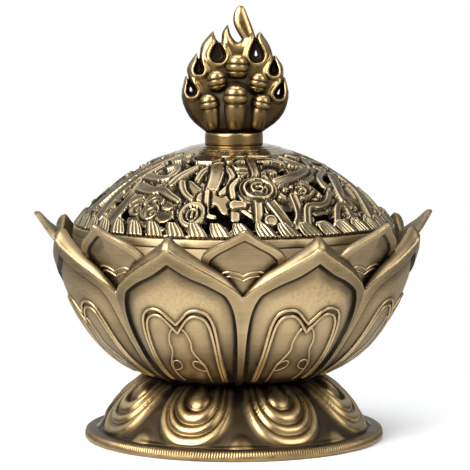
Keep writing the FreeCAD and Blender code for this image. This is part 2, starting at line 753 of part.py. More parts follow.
def screw(seat, tip, radius, head_radius, head_height):
    """Screw standing up from its head, which lies below its seat."""
    crown = 0.35 * head_height
    slot = Part.makeBox(2 * head_radius + 2, 0.28 * head_radius, 0.45 * head_height,
                        Vector(-head_radius - 1, -0.14 * head_radius, seat - head_height))
    body = revolved([
        (0, seat - head_height),
        (head_radius - crown, seat - head_height),
        (head_radius, seat - head_height + crown),
        (head_radius, seat),
        (radius, seat),
        (radius, tip - 0.4 * radius),
        (0.6 * radius, tip),
        (0, tip),
    ])
    return body.cut(slot)


def washer(radius, hole, bottom, top):
    return cylinder(radius, bottom, top).cut(cylinder(hole, bottom - 1, top + 1))


def spring_washer(radius, hole, bottom, top):
    """Split washer, closed up as when it is tight."""
    split = Part.makeBox(radius + 1, 0.5, top - bottom + 2, Vector(0, -0.25, bottom - 1))
    split.rotate(Vector(0, 0, 0), AXIS, 40)
    return washer(radius, hole, bottom, top).cut(split)


def foot_fasteners():
    plate = FOOT_HEIGHT - FOOT_PLATE
    middle = plate - FOOT_WASHER
    seat = middle - FOOT_SPRING_WASHER
    hole = FOOT_SCREW_RADIUS + WASHER_CLEARANCE
    tip = cup_floor_z() + FOOT_THREAD_DEPTH - SCREW_END_GAP
    return {
        "foot_washer": washer(FOOT_WASHER_RADIUS, hole, middle, plate),
        "foot_spring_washer": spring_washer(FOOT_SPRING_WASHER_RADIUS, hole, seat, middle),
        "foot_screw": screw(seat, tip, FOOT_SCREW_RADIUS, FOOT_HEAD_RADIUS, FOOT_HEAD_HEIGHT),
    }


def finial_fasteners():
    middle = CROWN_UNDER_Z - FINIAL_WASHER
    seat = middle - FINIAL_SPRING_WASHER
    hole = FINIAL_SCREW_RADIUS + WASHER_CLEARANCE
    tip = COLLAR_TOP_Z + FINIAL_THREAD_DEPTH - SCREW_END_GAP
    return {
        "finial_washer": washer(FINIAL_WASHER_RADIUS, hole, middle, CROWN_UNDER_Z),
        "finial_spring_washer": spring_washer(FINIAL_SPRING_WASHER_RADIUS, hole, seat, middle),
        "finial_screw": screw(seat, tip, FINIAL_SCREW_RADIUS, FINIAL_HEAD_RADIUS, FINIAL_HEAD_HEIGHT),
    }


# Loose pieces in the chamber

MAT_TOP_Z = CHAMBER_FLOOR_Z + MAT_THICKNESS


def heat_mat():
    return cylinder(CHAMBER_FLOOR_RADIUS - MAT_CLEARANCE, CHAMBER_FLOOR_Z, MAT_TOP_Z)


def incense_holder():
    top = MAT_TOP_Z + HOLDER_HEIGHT
    plate = MAT_TOP_Z + HOLDER_PLATE
    body = revolved([
        (0, MAT_TOP_Z),
        (HOLDER_RADIUS, MAT_TOP_Z),
        (HOLDER_RADIUS, plate - 0.4),
        (HOLDER_RADIUS - 0.6, plate),
        (HOLDER_HUB_RADIUS + 1.2, plate),
        (HOLDER_HUB_RADIUS, plate + 1.4),
        (HOLDER_HUB_RADIUS, top - 0.6),
        (HOLDER_HUB_RADIUS - 0.6, top),
        (0, top),
    ])
    return body.cut(cylinder(STICK_RADIUS, top - STICK_DEPTH, top + 1))


def main():
    os.makedirs("parts", exist_ok=True)
    nodes = {
        "lotus_foot": lotus_foot(),
        "outer_petal_cup": outer_petal_cup(),
        "inner_fire_bowl": inner_fire_bowl(),
        "heat_mat": heat_mat(),
        "incense_holder": incense_holder(),
        "lid_dome": lid_dome(),
        "finial_collar": finial_collar(),
        "flame_finial": flame_finial(),
    }
    nodes.update(foot_fasteners())
    nodes.update(finial_fasteners())
    for name, shape in nodes.items():
        box = shape.BoundBox
        print(f"{name:22s} solids {len(shape.Solids)} faces {len(shape.Faces):4d} valid {shape.isValid()} "
              f"volume {shape.Volume:9.1f} z {box.ZMin:7.2f} to {box.ZMax:7.2f}")
        shape.exportStep(f"parts/{name}.step")


main()
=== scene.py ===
import math

import bpy
import numpy as np
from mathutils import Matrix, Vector


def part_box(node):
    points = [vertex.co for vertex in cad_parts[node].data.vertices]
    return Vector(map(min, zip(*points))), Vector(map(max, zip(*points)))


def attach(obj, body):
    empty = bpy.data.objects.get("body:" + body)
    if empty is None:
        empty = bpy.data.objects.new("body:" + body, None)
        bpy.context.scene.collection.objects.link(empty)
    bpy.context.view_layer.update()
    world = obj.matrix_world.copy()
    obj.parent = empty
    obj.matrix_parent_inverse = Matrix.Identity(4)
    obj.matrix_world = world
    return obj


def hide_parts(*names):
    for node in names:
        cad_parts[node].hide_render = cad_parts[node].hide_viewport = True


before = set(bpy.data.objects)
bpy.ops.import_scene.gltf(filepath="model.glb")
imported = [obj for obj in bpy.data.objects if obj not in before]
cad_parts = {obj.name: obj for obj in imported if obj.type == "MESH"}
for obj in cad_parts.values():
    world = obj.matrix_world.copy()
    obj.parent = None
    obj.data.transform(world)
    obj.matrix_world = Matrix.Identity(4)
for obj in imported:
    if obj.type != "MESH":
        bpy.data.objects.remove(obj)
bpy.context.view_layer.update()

# Looks of a lotus incense burner. Shapes are worked out in millimetres, in the frame of the solids.

MM = 0.001
PETAL_COUNT = 8
SECTOR = 2 * math.pi / PETAL_COUNT
HALF = SECTOR / 2
FRONT = -math.pi / 2
INNER_ANGLES = FRONT + np.arange(PETAL_COUNT) * SECTOR
OUTER_ANGLES = INNER_ANGLES + HALF


def levels(node):
    """Lowest and highest corner of a solid, in millimetres."""
    low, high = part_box(node)
    return np.array(low) / MM, np.array(high) / MM


FOOT_RADIUS, _, FOOT_HEIGHT = levels("lotus_foot")[1]
COLLAR_RADIUS = levels("lid_dome")[1][0]
SPIGOT_LOW_Z, CROWN_TOP_Z = levels("lid_dome")[0][2], levels("lid_dome")[1][2]
COLLAR_TOP_Z = levels("finial_collar")[1][2]
MAT_RADIUS, _, MAT_TOP_Z = levels("heat_mat")[1]
MAT_LOW_Z = levels("heat_mat")[0][2]

# Outer petals
CUP_PROFILE = (
    (23.5, FOOT_HEIGHT),
    (37.0, FOOT_HEIGHT + 5.0),
    (44.5, FOOT_HEIGHT + 16.5),
    (49.2, FOOT_HEIGHT + 38.7),
)
CUP_WALL = 1.8
CUP_VALLEY = 2.0
CUP_INNER_VALLEY = 1.1
CUP_NOTCH_T = 0.742
TIP_CURL = 0.8
TIP_ROUND = 0.05
TIP_BLUNT = 0.045
TIP_REACH = 0.2
TIP_WALL = 1.5
FIELD_STEP = 0.8
FIELD_PILLOW = 0.45
NEST_GAP = 0.4
SCREW_HOLE = 2.7

# Bowl and its inner petals
NEST_OFFSET = CUP_WALL + CUP_INNER_VALLEY + NEST_GAP
SEAT_Z = SPIGOT_LOW_Z + 2.8
GROOVE_Z = SEAT_Z - 8.2
CHAMBER_RADIUS = 38.2
INNER_WALL = 1.7
INNER_FLARE = 4.7
INNER_KEEL = 0.8

# Lid
DOME_RADIUS = 50.0
DOME_WALL = 2.0
BAND_TOP_Z = SEAT_Z + 2.2
DOME_FOOT_RADIUS = COLLAR_RADIUS - 0.7
DOME_CENTRE_Z = BAND_TOP_Z - math.sqrt(DOME_RADIUS ** 2 - DOME_FOOT_RADIUS ** 2)


# Numbers along curves

def smoothstep(low, high, value):
    x = np.clip((np.asarray(value, float) - low) / (high - low), 0, 1)
    return x * x * (3 - 2 * x)


def bump(centre, width, value):
    """Bell curve that is one at its centre."""
    return np.exp(-((np.asarray(value, float) - centre) / width) ** 2)


def unit(vectors):
    return vectors / np.linalg.norm(vectors, axis=-1, keepdims=True)


def bezier(poles, t):
    """Points at t on a cubic curve."""
    t = np.asarray(t, float)[..., None]
    a, b, c, d = (np.array(pole, float) for pole in poles)
    return (1 - t) ** 3 * a + 3 * t * (1 - t) ** 2 * b + 3 * t * t * (1 - t) * c + t ** 3 * d


def bezier_slope(poles, t):
    """Unit directions of travel at t on a cubic curve."""
    t = np.asarray(t, float)[..., None]
    a, b, c, d = (np.array(pole, float) for pole in poles)
    return unit((1 - t) ** 2 * (b - a) + 2 * t * (1 - t) * (c - b) + t * t * (d - c))


def resample(line, count):
    """Evenly spaced points along a line."""
    steps = np.linalg.norm(np.diff(line, axis=0), axis=1)
    at = np.concatenate([[0], np.cumsum(steps)])
    wanted = np.linspace(0, at[-1], count)
    return np.stack([np.interp(wanted, at, line[:, k]) for k in range(line.shape[1])], axis=1)


SPAN_STEPS = 24


def smooth_line(points, count):
    """Evenly spaced points on a smooth curve through the given ones."""
    points = np.array(points, float)
    ends = np.vstack([2 * points[0] - points[1], points, 2 * points[-1] - points[-2]])
    t = np.linspace(0, 1, SPAN_STEPS, endpoint=False)[:, None]
    spans = []
    for a, b, c, d in zip(ends, ends[1:], ends[2:], ends[3:]):
        spans.append(b + 0.5 * t * (c - a) + t ** 2 * (a - 2.5 * b + 2 * c - 0.5 * d)
                     + 0.5 * t ** 3 * (3 * b - a - 3 * c + d))
    return resample(np.vstack(spans + [points[-1:]]), count)


def distance_to_line(places, line):
    """Distance of each place from a line of points, and how far along the line its nearest point is."""
    best = np.full(len(places), np.inf)
    along = np.zeros(len(places))
    for k, (a, b) in enumerate(zip(line, line[1:])):
        way = b - a
        size = max(float(way @ way), 1e-12)
        share = np.clip((places - a) @ way / size, 0, 1)
        gap = np.linalg.norm(places - a - share[:, None] * way, axis=1)
        nearer = gap < best
        best[nearer] = gap[nearer]
        along[nearer] = (k + share[nearer]) / (len(line) - 1)
    return best, along


# Meshes

WELD_GAP = 2e-4


def polar(radius, angle, height):
    """Points from their radius, angle round the axis and height."""
    return np.stack(np.broadcast_arrays(radius * np.cos(angle), radius * np.sin(angle), height), axis=-1)


def axis_turn(angle):
    """Matrix that turns rows of points round the axis."""
    cosine, sine = math.cos(angle), math.sin(angle)
    return np.array([[cosine, sine, 0], [-sine, cosine, 0], [0, 0, 1]])


def revolved_grid(profile, columns):
    """Grid of points of a profile of (radius, height), turned round the axis."""
    profile = np.asarray(profile, float)
    return polar(profile[:, :1], np.arange(columns) * 2 * math.pi / columns, profile[:, 1:])


def border(grid):
    """Values along the border of a grid, once round."""
    return np.concatenate([grid[0], grid[1:, -1], grid[-1, -2::-1], grid[-2:0:-1, 0]])


def sheet_quads(rows, columns, closed=False):
    """Corner numbers of the faces of a grid of points, row by row."""
    r, c = np.meshgrid(np.arange(rows - 1), np.arange(columns if closed else columns - 1), indexing="ij")
    right = (c + 1) % columns
    return np.stack([r * columns + c, r * columns + right, (r + 1) * columns + right, (r + 1) * columns + c],
                    axis=-1).reshape(-1, 4)


class Surface:
    """Points, faces and per-point stain and painted shade, and wear and painted sheen, that grow into one
    mesh.
    """

    def __init__(self):
        self.points, self.faces, self.stain_and_shade, self.wear_and_sheen = [], [], [], []
        self.count = 0

    def add(self, points, faces, stain_and_shade, wear_and_sheen):
        self.points.append(points)
        self.faces.append(faces + self.count)
        self.stain_and_shade.append(stain_and_shade)
        self.wear_and_sheen.append(wear_and_sheen)
        self.count += len(points)

    def add_sheet(self, grid, stain_and_shade=0.0, wear_and_sheen=0.0, closed=False, flip=False):
        """Adds a grid of points, with its stain, painted shade and wear by point, by row, by column or for
        all of it.
        """
        shape = grid.shape[:2]
        faces = sheet_quads(*shape, closed)
        stain_and_shade, wear_and_sheen = (np.broadcast_to(value, shape).ravel() for value in (stain_and_shade, wear_and_sheen))
        self.add(grid.reshape(-1, 3), faces[:, ::-1] if flip else faces, stain_and_shade, wear_and_sheen)

    def add_ring(self, section, columns, flip=False):
        """Adds a closed ring from rows of radius, height, stain with painted shade, and wear."""
        section = np.array([*section, section[0]])
        self.add_sheet(revolved_grid(section[:, :2], columns), section[:, 2:3], section[:, 3:], True, flip)

    def merged(self):
        return (np.vstack(self.points), np.vstack(self.faces),
                np.concatenate(self.stain_and_shade), np.concatenate(self.wear_and_sheen))

    def turned(self, angles):
        """Copies turned round the axis, each with its mirror image about its own middle."""
        points, faces, stain_and_shade, wear_and_sheen = self.merged()
        whole = Surface()
        for angle in angles:
            whole.add(points @ axis_turn(angle), faces, stain_and_shade, wear_and_sheen)
            whole.add((points * (1, -1, 1)) @ axis_turn(angle), faces[:, ::-1], stain_and_shade, wear_and_sheen)
        return whole


def weld(points, faces):
    """Joins points that lie together and drops the faces that shrink to nothing."""
    keys = np.round(points / WELD_GAP).astype(np.int64)
    _, first, number = np.unique(keys, axis=0, return_index=True, return_inverse=True)
    corners = number.reshape(-1)[faces]
    repeats = np.stack([corners[:, k] == corners[:, k - 1] for k in range(4)], axis=1)
    lost = repeats.sum(axis=1)
    crossed = (corners[:, 0] == corners[:, 2]) | (corners[:, 1] == corners[:, 3])
    quads = corners[(lost == 0) & ~crossed]
    single = (lost == 1) & ~crossed
    triangles = corners[single][~repeats[single]].reshape(-1, 3)
    return first, quads, triangles


def place_in_scene(name, data):
    piece = bpy.data.objects.new(name, data)
    bpy.context.scene.collection.objects.link(piece)
    return piece


def build(name, surface, node, body, slot):
    """Smooth-shaded piece that stands for a node, with the finish of a slot."""
    points, faces, stain_and_shade, wear_and_sheen = surface.merged()
    first, quads, triangles = weld(points, faces)
    mesh = bpy.data.meshes.new(name)
    mesh.vertices.add(len(first))
    mesh.vertices.foreach_set("co", (points[first] * MM).ravel())
    totals = np.concatenate([np.full(len(quads), 4), np.full(len(triangles), 3)])
    mesh.loops.add(int(totals.sum()))
    mesh.loops.foreach_set("vertex_index", np.concatenate([quads.ravel(), triangles.ravel()]))
    mesh.polygons.add(len(totals))
    mesh.polygons.foreach_set("loop_start", np.concatenate([[0], np.cumsum(totals)[:-1]]))
    mesh.polygons.foreach_set("loop_total", totals)
    mesh.update(calc_edges=True)
    mesh.validate()
    mesh.shade_smooth()
    # The dark mask holds stains and patina and also painted shade; the light mask holds wear and also painted
    # sheen
    for label, values in (("stain_and_shade", stain_and_shade), ("wear_and_sheen", wear_and_sheen)):
        mesh.attributes.new(label, "FLOAT", "POINT").data.foreach_set("value", np.clip(values[first], 0, 1))
    mesh.materials.append(finishes[slot])
    piece = place_in_scene(name, mesh)
    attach(piece, body)
    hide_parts(node)
    return piece


# Materials

class Nodes:
    """Short way to write the nodes of a material or of the world."""

    def __init__(self, name, group=bpy.data.materials, shader="Principled BSDF"):
        self.owner = group.new(name)
        self.owner.use_nodes = True
        self.tree = self.owner.node_tree
        self.shader = self.tree.nodes[shader]

    def fill(self, node, inputs):
        """Links or sets the inputs of a node, by name or number."""
        for key, value in inputs.items():
            if isinstance(value, bpy.types.NodeSocket):
                self.tree.links.new(value, node.inputs[key])
            else:
                node.inputs[key].default_value = value

    def add(self, kind, inputs, **settings):
        """Outputs of a new node."""
        node = self.tree.nodes.new(kind)
        for key, value in settings.items():
            setattr(node, key, value)
        self.fill(node, inputs)
        return node.outputs

    def shaded(self, inputs):
        """The material or world, with the inputs of its shader."""
        self.fill(self.shader, inputs)
        return self.owner

    def coordinates(self, kind="Object"):
        return self.add("ShaderNodeTexCoord", {})[kind]

    def noise(self, scale, stretch=(1, 1, 1), detail=3.0):
        place = self.add("ShaderNodeMapping", {"Vector": self.coordinates(), "Scale": stretch})["Vector"]
        return self.add("ShaderNodeTexNoise", {"Vector": place, "Scale": scale, "Detail": detail})["Fac"]

    def attribute(self, name):
        return self.add("ShaderNodeAttribute", {}, attribute_name=name)["Fac"]

    def math(self, operation, a, b=0.0, clamp=False):
        return self.add("ShaderNodeMath", {0: a, 1: b}, operation=operation, use_clamp=clamp)[0]

    def spread(self, value, low, high, to_low=0.0, to_high=1.0):
        limits = {"From Min": low, "From Max": high, "To Min": to_low, "To Max": to_high}
        return self.add("ShaderNodeMapRange", {"Value": value, **limits})["Result"]

    def mix(self, share, *colours):
        a, b = (c if isinstance(c, bpy.types.NodeSocket) else (*c, 1.0) for c in colours)
        return self.add("ShaderNodeMix", {"Factor": share, 6: a, 7: b}, data_type="RGBA")[2]

    def split(self, vector):
        return self.add("ShaderNodeSeparateXYZ", {0: vector})

    def recess(self, reach):
        """One in crevices within reach, zero on open faces."""
        settings = {"samples": 8, "only_local": True}
        openness = self.add("ShaderNodeAmbientOcclusion", {"Distance": reach * MM}, **settings)["AO"]
        return self.math("SUBTRACT", 1.0, openness)

    def bump(self, height, strength, depth):
        inputs = {"Height": height, "Strength": strength, "Distance": depth * MM}
        return self.add("ShaderNodeBump", inputs)["Normal"]

    def light_path(self):
        """Whether a ray comes from the camera, straight or through glass, and whether from a shiny face."""
        paths = self.add("ShaderNodeLightPath", {})
        seen = self.math("MAXIMUM", paths["Is Camera Ray"], paths["Is Transmission Ray"])
        return seen, paths["Is Glossy Ray"]


BRASS_EDGE = (0.60, 0.445, 0.235)
# Colour of the dark patina, and of the painted shade in grooves and crevices
DARK_PATINA_AND_SHADE = (0.022, 0.016, 0.011)
# Shares of a bronze's own colour in its darker and lighter clouds
SHADE_SHARE = (0.58, 0.54, 0.45)
LIGHT_SHARE = (1.2, 1.18, 1.08)
BRUSHED = (1.0, 1.0, 45.0)
AS_CAST = (6.0, 6.0, 9.0)


def bronze(name, middle, edge, roughness, reach, recess_gain, grain):
    """Antique bronze: dark with patina and painted shade in its grooves, brassy where it is rubbed or painted
    with sheen, with a fine satin face.
    """
    n = Nodes(name)
    blotch = n.noise(110.0)
    cloud = n.noise(42.0, detail=2.0)
    speck = n.noise(1300.0, detail=2.0)
    brush = n.noise(60.0, grain, detail=4.0)
    tone = n.math("ADD", n.math("ADD", blotch, cloud), n.math("MULTIPLY", brush, 0.6))
    shade, light = (tuple(np.multiply(middle, share)) for share in (SHADE_SHARE, LIGHT_SHARE))
    colour = n.mix(n.spread(tone, 0.95, 1.6), shade, light)
    # Lighter towards the rubbed colour where the light mask says so: real wear, and painted sheen
    rubbed_and_sheen = n.math("MULTIPLY", n.attribute("wear_and_sheen"), n.spread(speck, 0.25, 0.6, 0.55, 1.1), clamp=True)
    colour = n.mix(rubbed_and_sheen, colour, edge)
    # Painted shade: darker where occlusion finds a crevice, over the patina that collects there
    crevice_shade = n.spread(n.recess(reach), 0.18, 0.18 + 0.62 / recess_gain)
    dirt_and_shade = n.math("MAXIMUM", n.attribute("stain_and_shade"), crevice_shade)
    grime_and_shade = n.math("MULTIPLY", dirt_and_shade, n.spread(blotch, 0.2, 0.6, 0.75, 1.05), clamp=True)
    colour = n.mix(grime_and_shade, colour, DARK_PATINA_AND_SHADE)
    satin = n.spread(brush, 0.3, 0.7, roughness - 0.05, roughness + 0.08)
    dull = n.math("ADD", n.math("MULTIPLY", grime_and_shade, 0.22), satin)
    pitted = n.math("ADD", brush, n.math("MULTIPLY", speck, 0.35))
    normal = n.bump(pitted, strength=0.12, depth=0.05)
    return n.shaded({"Base Color": colour, "Metallic": 1.0, "Roughness": dull, "Normal": normal})


def plain_metal(name, light, dark, roughness):
    """Turned or plated metal with faint streaks, a dull film and painted shade in its recesses."""
    n = Nodes(name)
    film = n.noise(160.0)
    streak = n.noise(70.0, (1.0, 1.0, 60.0))
    colour = n.mix(n.spread(n.math("ADD", film, streak), 0.7, 1.3), dark, light)
    # Painted shade: darker in recesses
    colour = n.mix(n.spread(n.recess(0.8), 0.25, 0.8), colour, tuple(0.35 * c for c in dark))
    dull = n.spread(film, 0.3, 0.7, roughness, roughness + 0.12)
    normal = n.bump(streak, strength=0.1, depth=0.03)
    return n.shaded({"Base Color": colour, "Metallic": 1.0, "Roughness": dull, "Normal": normal})


def glass_fibre():
    """Matted white fibre, slightly scorched in patches."""
    n = Nodes("glass_fibre")
    fibre = n.noise(900.0, (1.0, 0.25, 1.0), detail=5.0)
    cross = n.noise(900.0, (0.25, 1.0, 1.0), detail=5.0)
    weave = n.math("MAXIMUM", fibre, cross)
    scorch = n.spread(n.noise(70.0), 0.5, 0.75)
    colour = n.mix(n.spread(weave, 0.4, 0.7), (0.55, 0.52, 0.45), (0.86, 0.84, 0.78))
    colour = n.mix(n.math("MULTIPLY", scorch, 0.35), colour, (0.42, 0.33, 0.22))
    normal = n.bump(weave, strength=0.8, depth=0.25)
    return n.shaded({"Base Color": colour, "Roughness": 0.95, "Normal": normal})


# Bronze of each slot: own colour, rubbed colour, roughness, reach and strength of the patina and painted
# shade in crevices, grain
BRONZES = {
    "petal_bronze": ((0.34, 0.257, 0.155), BRASS_EDGE, 0.34, 1.6, 1.3, BRUSHED),
    "bowl_bronze": ((0.335, 0.257, 0.158), BRASS_EDGE, 0.34, 0.7, 1.3, BRUSHED),
    "foot_bronze": ((0.26, 0.182, 0.094), (0.56, 0.405, 0.195), 0.30, 2.2, 1.1, AS_CAST),
    "lid_bronze": ((0.205, 0.155, 0.095), (0.52, 0.42, 0.25), 0.17, 1.4, 1.6, AS_CAST),
    "finial_bronze": ((0.205, 0.135, 0.058), (0.55, 0.40, 0.185), 0.25, 2.4, 1.4, AS_CAST),
}
finishes = {slot: bronze(slot, *values) for slot, values in BRONZES.items()}
finishes["glass_fibre"] = glass_fibre()
finishes["holder_brass"] = plain_metal("holder_brass", (0.72, 0.53, 0.24), (0.45, 0.32, 0.14), 0.28)
finishes["zinc_steel"] = plain_metal("zinc_steel", (0.62, 0.63, 0.64), (0.40, 0.40, 0.41), 0.34)


# Outer petals

CUP_TABLE_T = np.linspace(0, 1.2, 241)
CUP_TABLE = bezier(CUP_PROFILE, CUP_TABLE_T)
CUP_ARC = np.concatenate([[0], np.cumsum(np.linalg.norm(np.diff(CUP_TABLE, axis=0), axis=1))])


def unrolled(u, t):
    """Place on the petal as if laid flat: across and up, in millimetres."""
    radius = np.interp(t, CUP_TABLE_T, CUP_TABLE[:, 0])
    return np.stack([u * HALF * radius, np.interp(t, CUP_TABLE_T, CUP_ARC)], axis=-1)


def profile_point(u, t, depth, outward):
    """Point at u across half a petal and t up the cup's profile, at a depth below it and moved outward."""
    radius, height = np.moveaxis(bezier(CUP_PROFILE, t), -1, 0)
    out, up = np.moveaxis(bezier_slope(CUP_PROFILE, t), -1, 0)
    return polar(radius + outward - depth * up, u * HALF, height + depth * out)


def cup_point(u, t, depth):
    """Point of the outer cup, whose tips curl outward, at a depth below its profile."""
    return profile_point(u, t, depth, TIP_CURL * smoothstep(0.8, 1, t) * (1 - np.abs(u)) ** 2)


def cup_place(u, t, sink):
    """Point of the outer cup's face, which folds in between two petals, sunk below the face."""
    return cup_point(u, t, sink + CUP_VALLEY * smoothstep(0, 0.5, t) * np.abs(u) ** 2.2)


def cup_inside(u, t):
    """Point of the outer cup's inside, with a shallower fold and a thicker edge at the tips."""
    fold = CUP_INNER_VALLEY * smoothstep(0, 0.5, t) * (1 - np.cos(math.pi * u)) / 2
    return cup_point(u, t, CUP_WALL + fold + TIP_WALL * smoothstep(0.84, 1, t))


def petal_drop(u):
    """Ogee of a petal's edge, from its rounded tip down to the notch."""
    x = np.hypot(u * (1 - bump(0, TIP_BLUNT, u)), TIP_ROUND) - 0.5
    return 0.68 * x + 1.28 * x ** 3


def along_edge(u, everywhere, at_tip):
    """Share of the cup's profile along a petal's edge: more at the tip, and nothing at the notch."""
    return (everywhere + at_tip * bump(0, TIP_REACH, u)) * smoothstep(1, 0.7, u)


def outer_edge(u):
    """Top of an outer petal's face on the cup's profile, lower than the back of its thick edge."""
    fall = (petal_drop(u) - petal_drop(0)) / (petal_drop(1) - petal_drop(0))
    return 1 - (1 - CUP_NOTCH_T) * fall - along_edge(u, 0.012, 0.03)


def edge_slope(u):
    """How much higher the back of an outer petal's edge is than its face, on the cup's profile."""
    return along_edge(u, 0.024, 0.01)


# Lines on half an outer petal, as (u, t)
FIELD_CORNER = (0.79, 0.742)
FIELD_SIDE = (
    (0.945, 0.0), (0.94, 0.2), (0.93, 0.45), (0.91, 0.58), (0.88, 0.655), (0.84, 0.705), FIELD_CORNER,
)
FIELD_TOP = (FIELD_CORNER, (0.72, 0.772), (0.5, 0.818), (0.25, 0.856), (0.0, 0.907))
EDGE_U = np.linspace(1, 0, 48)
# Parts of half a petal, from its base to its tip: number of rows, edge of the sunk field, outline
OUTER_PARTS = (
    (62, FIELD_SIDE, ((1, 0), (1, CUP_NOTCH_T))),
    (58, FIELD_TOP, np.stack([EDGE_U, outer_edge(EDGE_U)], axis=1)),
)
HEART_OUTER = (
    (0.0, 0.612), (0.1, 0.648), (0.18, 0.678), (0.28, 0.693), (0.4, 0.688), (0.5, 0.66),
    (0.56, 0.607), (0.595, 0.52), (0.615, 0.42), (0.65, 0.28), (0.68, 0.17), (0.70, 0.06),
)
HEART_INNER = (
    (0.0, 0.558), (0.09, 0.604), (0.17, 0.64), (0.27, 0.66), (0.38, 0.654), (0.455, 0.63),
    (0.505, 0.585), (0.54, 0.5), (0.56, 0.42), (0.59, 0.28), (0.615, 0.17), (0.635, 0.06),
)
HEART_WAVE = (
    (0.08, 0.585), (0.14, 0.55), (0.18, 0.49), (0.175, 0.43),
    (0.26, 0.35), (0.33, 0.29), (0.35, 0.2), (0.35, 0.06),
)
HEART_LOOP = (
    (0.345, 0.23), (0.30, 0.30), (0.22, 0.335), (0.13, 0.33),
    (0.12, 0.285), (0.19, 0.25), (0.27, 0.235), (0.345, 0.23),
)
HEART_LOOP_MIDDLE = (0.21, 0.29)
# Raised lines of the heart: line, width, height, and strength of the patina and painted shade round it
HEART_LINES = (
    (HEART_OUTER, 0.95, 0.6, 0.9),
    (HEART_INNER, 0.9, 0.55, 0.9),
    (HEART_WAVE, 0.62, 0.38, 0.54),
    (HEART_LOOP, 0.48, 0.28, 0.54),
)


def half_petal_rows(parts):
    """Matching points of a petal's field edge and outline, part by part from the base to the tip."""
    fields, outlines = [], []
    for count, field, outline in parts:
        skip = 1 if fields else 0
        fields.append(smooth_line(field, count)[skip:])
        outlines.append(smooth_line(outline, count)[skip:])
    return np.vstack(fields), np.vstack(outlines)


# Columns of a petal's grid: millimetres in from its field's edge, how wide a field has to be for all of them,
# columns over the rest of the field, and shares of the band from the field to the outline
FIELD_STEPS = np.array([0, 0.12, 0.24, 0.36, 0.5, 0.7, 1.0, 1.5, 2.2, 3.2])
FIELD_STEPS_ROOM = 6.4
FIELD_REST = 13
BAND_STEPS = np.array([0, 0.06, 0.25, 0.5, 0.75, 0.94, 1])


def petal_grid(field, outline):
    """Places (u, t) of the grid of half a petal: from its middle to the field's edge, then over the band."""
    width = unrolled(field[:, 0], field[:, 1])[:, 0]
    shrink = np.minimum(1, width / FIELD_STEPS_ROOM)
    inward = FIELD_STEPS[None, :] * shrink[:, None]
    rest = np.linspace(0, 1, FIELD_REST + 1)[1:]
    deep = inward[:, -1:] + (width[:, None] - inward[:, -1:]) * rest[None, :]
    from_edge = np.concatenate([inward, deep], axis=1)[:, ::-1]
    share = 1 - from_edge / np.maximum(width, 1e-9)[:, None]
    inside_u = share * field[:, :1]
    inside_t = np.broadcast_to(field[:, 1:], inside_u.shape)
    band = field[:, None, :] + (outline - field)[:, None, :] * BAND_STEPS[None, 1:, None]
    u = np.concatenate([inside_u, band[..., 0]], axis=1)
    t = np.concatenate([inside_t, band[..., 1]], axis=1)
    return u, t, inside_u.shape[1]


def field_profile(gap):
    """Depth of the sunk field at a distance inside its edge: a sharp step, then a low pillow."""
    return FIELD_STEP * smoothstep(0, 0.5, gap) - FIELD_PILLOW * smoothstep(0.5, 3.4, gap)


# Rubbed colour of an edge from the face over to the back, and painted shade that darkens its back
EDGE_WEAR = np.array([0.7, 0.35, 0.1, 0.05, 0.05, 0.05])[:, None]
EDGE_SHADE = np.array([0.0, 0.2, 0.5, 0.65, 0.6, 0.5])[:, None]
EDGE_BULGE = 0.65
LINE_SIDES = 5
LINE_SINK = 0.12
LINE_END_SINK = 0.2
LINE_ROOT = 0.35
LINE_TAPER = 3


def rounded_edge(outer, inner, way):
    """Rows of a half-round edge between two matching lines of points, bulging along way."""
    share = np.linspace(0, math.pi, len(EDGE_WEAR))[:, None, None]
    swell = np.linalg.norm(outer - inner, axis=-1)[:, None] / 2
    middle = (outer + inner) / 2
    return middle + np.cos(share) * (outer - middle) + EDGE_BULGE * swell * np.sin(share) * way


def edge_way(place, u, t):
    """Directions in which a petal's edge points, up its own face."""
    return unit(place(u, t, 0.0) - place(u, t - 0.01, 0.0))


def surface_normals(place, u, t, step=0.004):
    across = place(u + step, t, 0.0) - place(u - step, t, 0.0)
    along = place(u, t + step, 0.0) - place(u, t - step, 0.0)
    return unit(np.cross(across, along))


def line_shade_and_wear(side_stain_and_shade, crest_wear):
    """Patina and painted shade, and wear, of a raised line, from side to side and underneath."""
    return (side_stain_and_shade, 0.1, 0.0, 0.1, side_stain_and_shade, 1.0), (0.1, 0.6, crest_wear, 0.6, 0.1, 0.0)


def raised_line(path, normals, width, height):
    """Half-round raised line along a path on a surface, closed underneath and tapered at its end."""
    side = unit(np.cross(unit(np.gradient(path, axis=0)), normals))
    ends = np.minimum(1, (len(path) - 1 - np.arange(len(path))) / LINE_TAPER)[:, None]
    ring = []
    for angle in np.linspace(0, math.pi, LINE_SIDES):
        rise = (height * math.sin(angle) - LINE_SINK) * ends - LINE_END_SINK * (1 - ends)
        ring.append(path + side * width / 2 * math.cos(angle) * ends + normals * rise)
    ring.append(path - normals * LINE_ROOT)
    return np.stack(ring, axis=1)


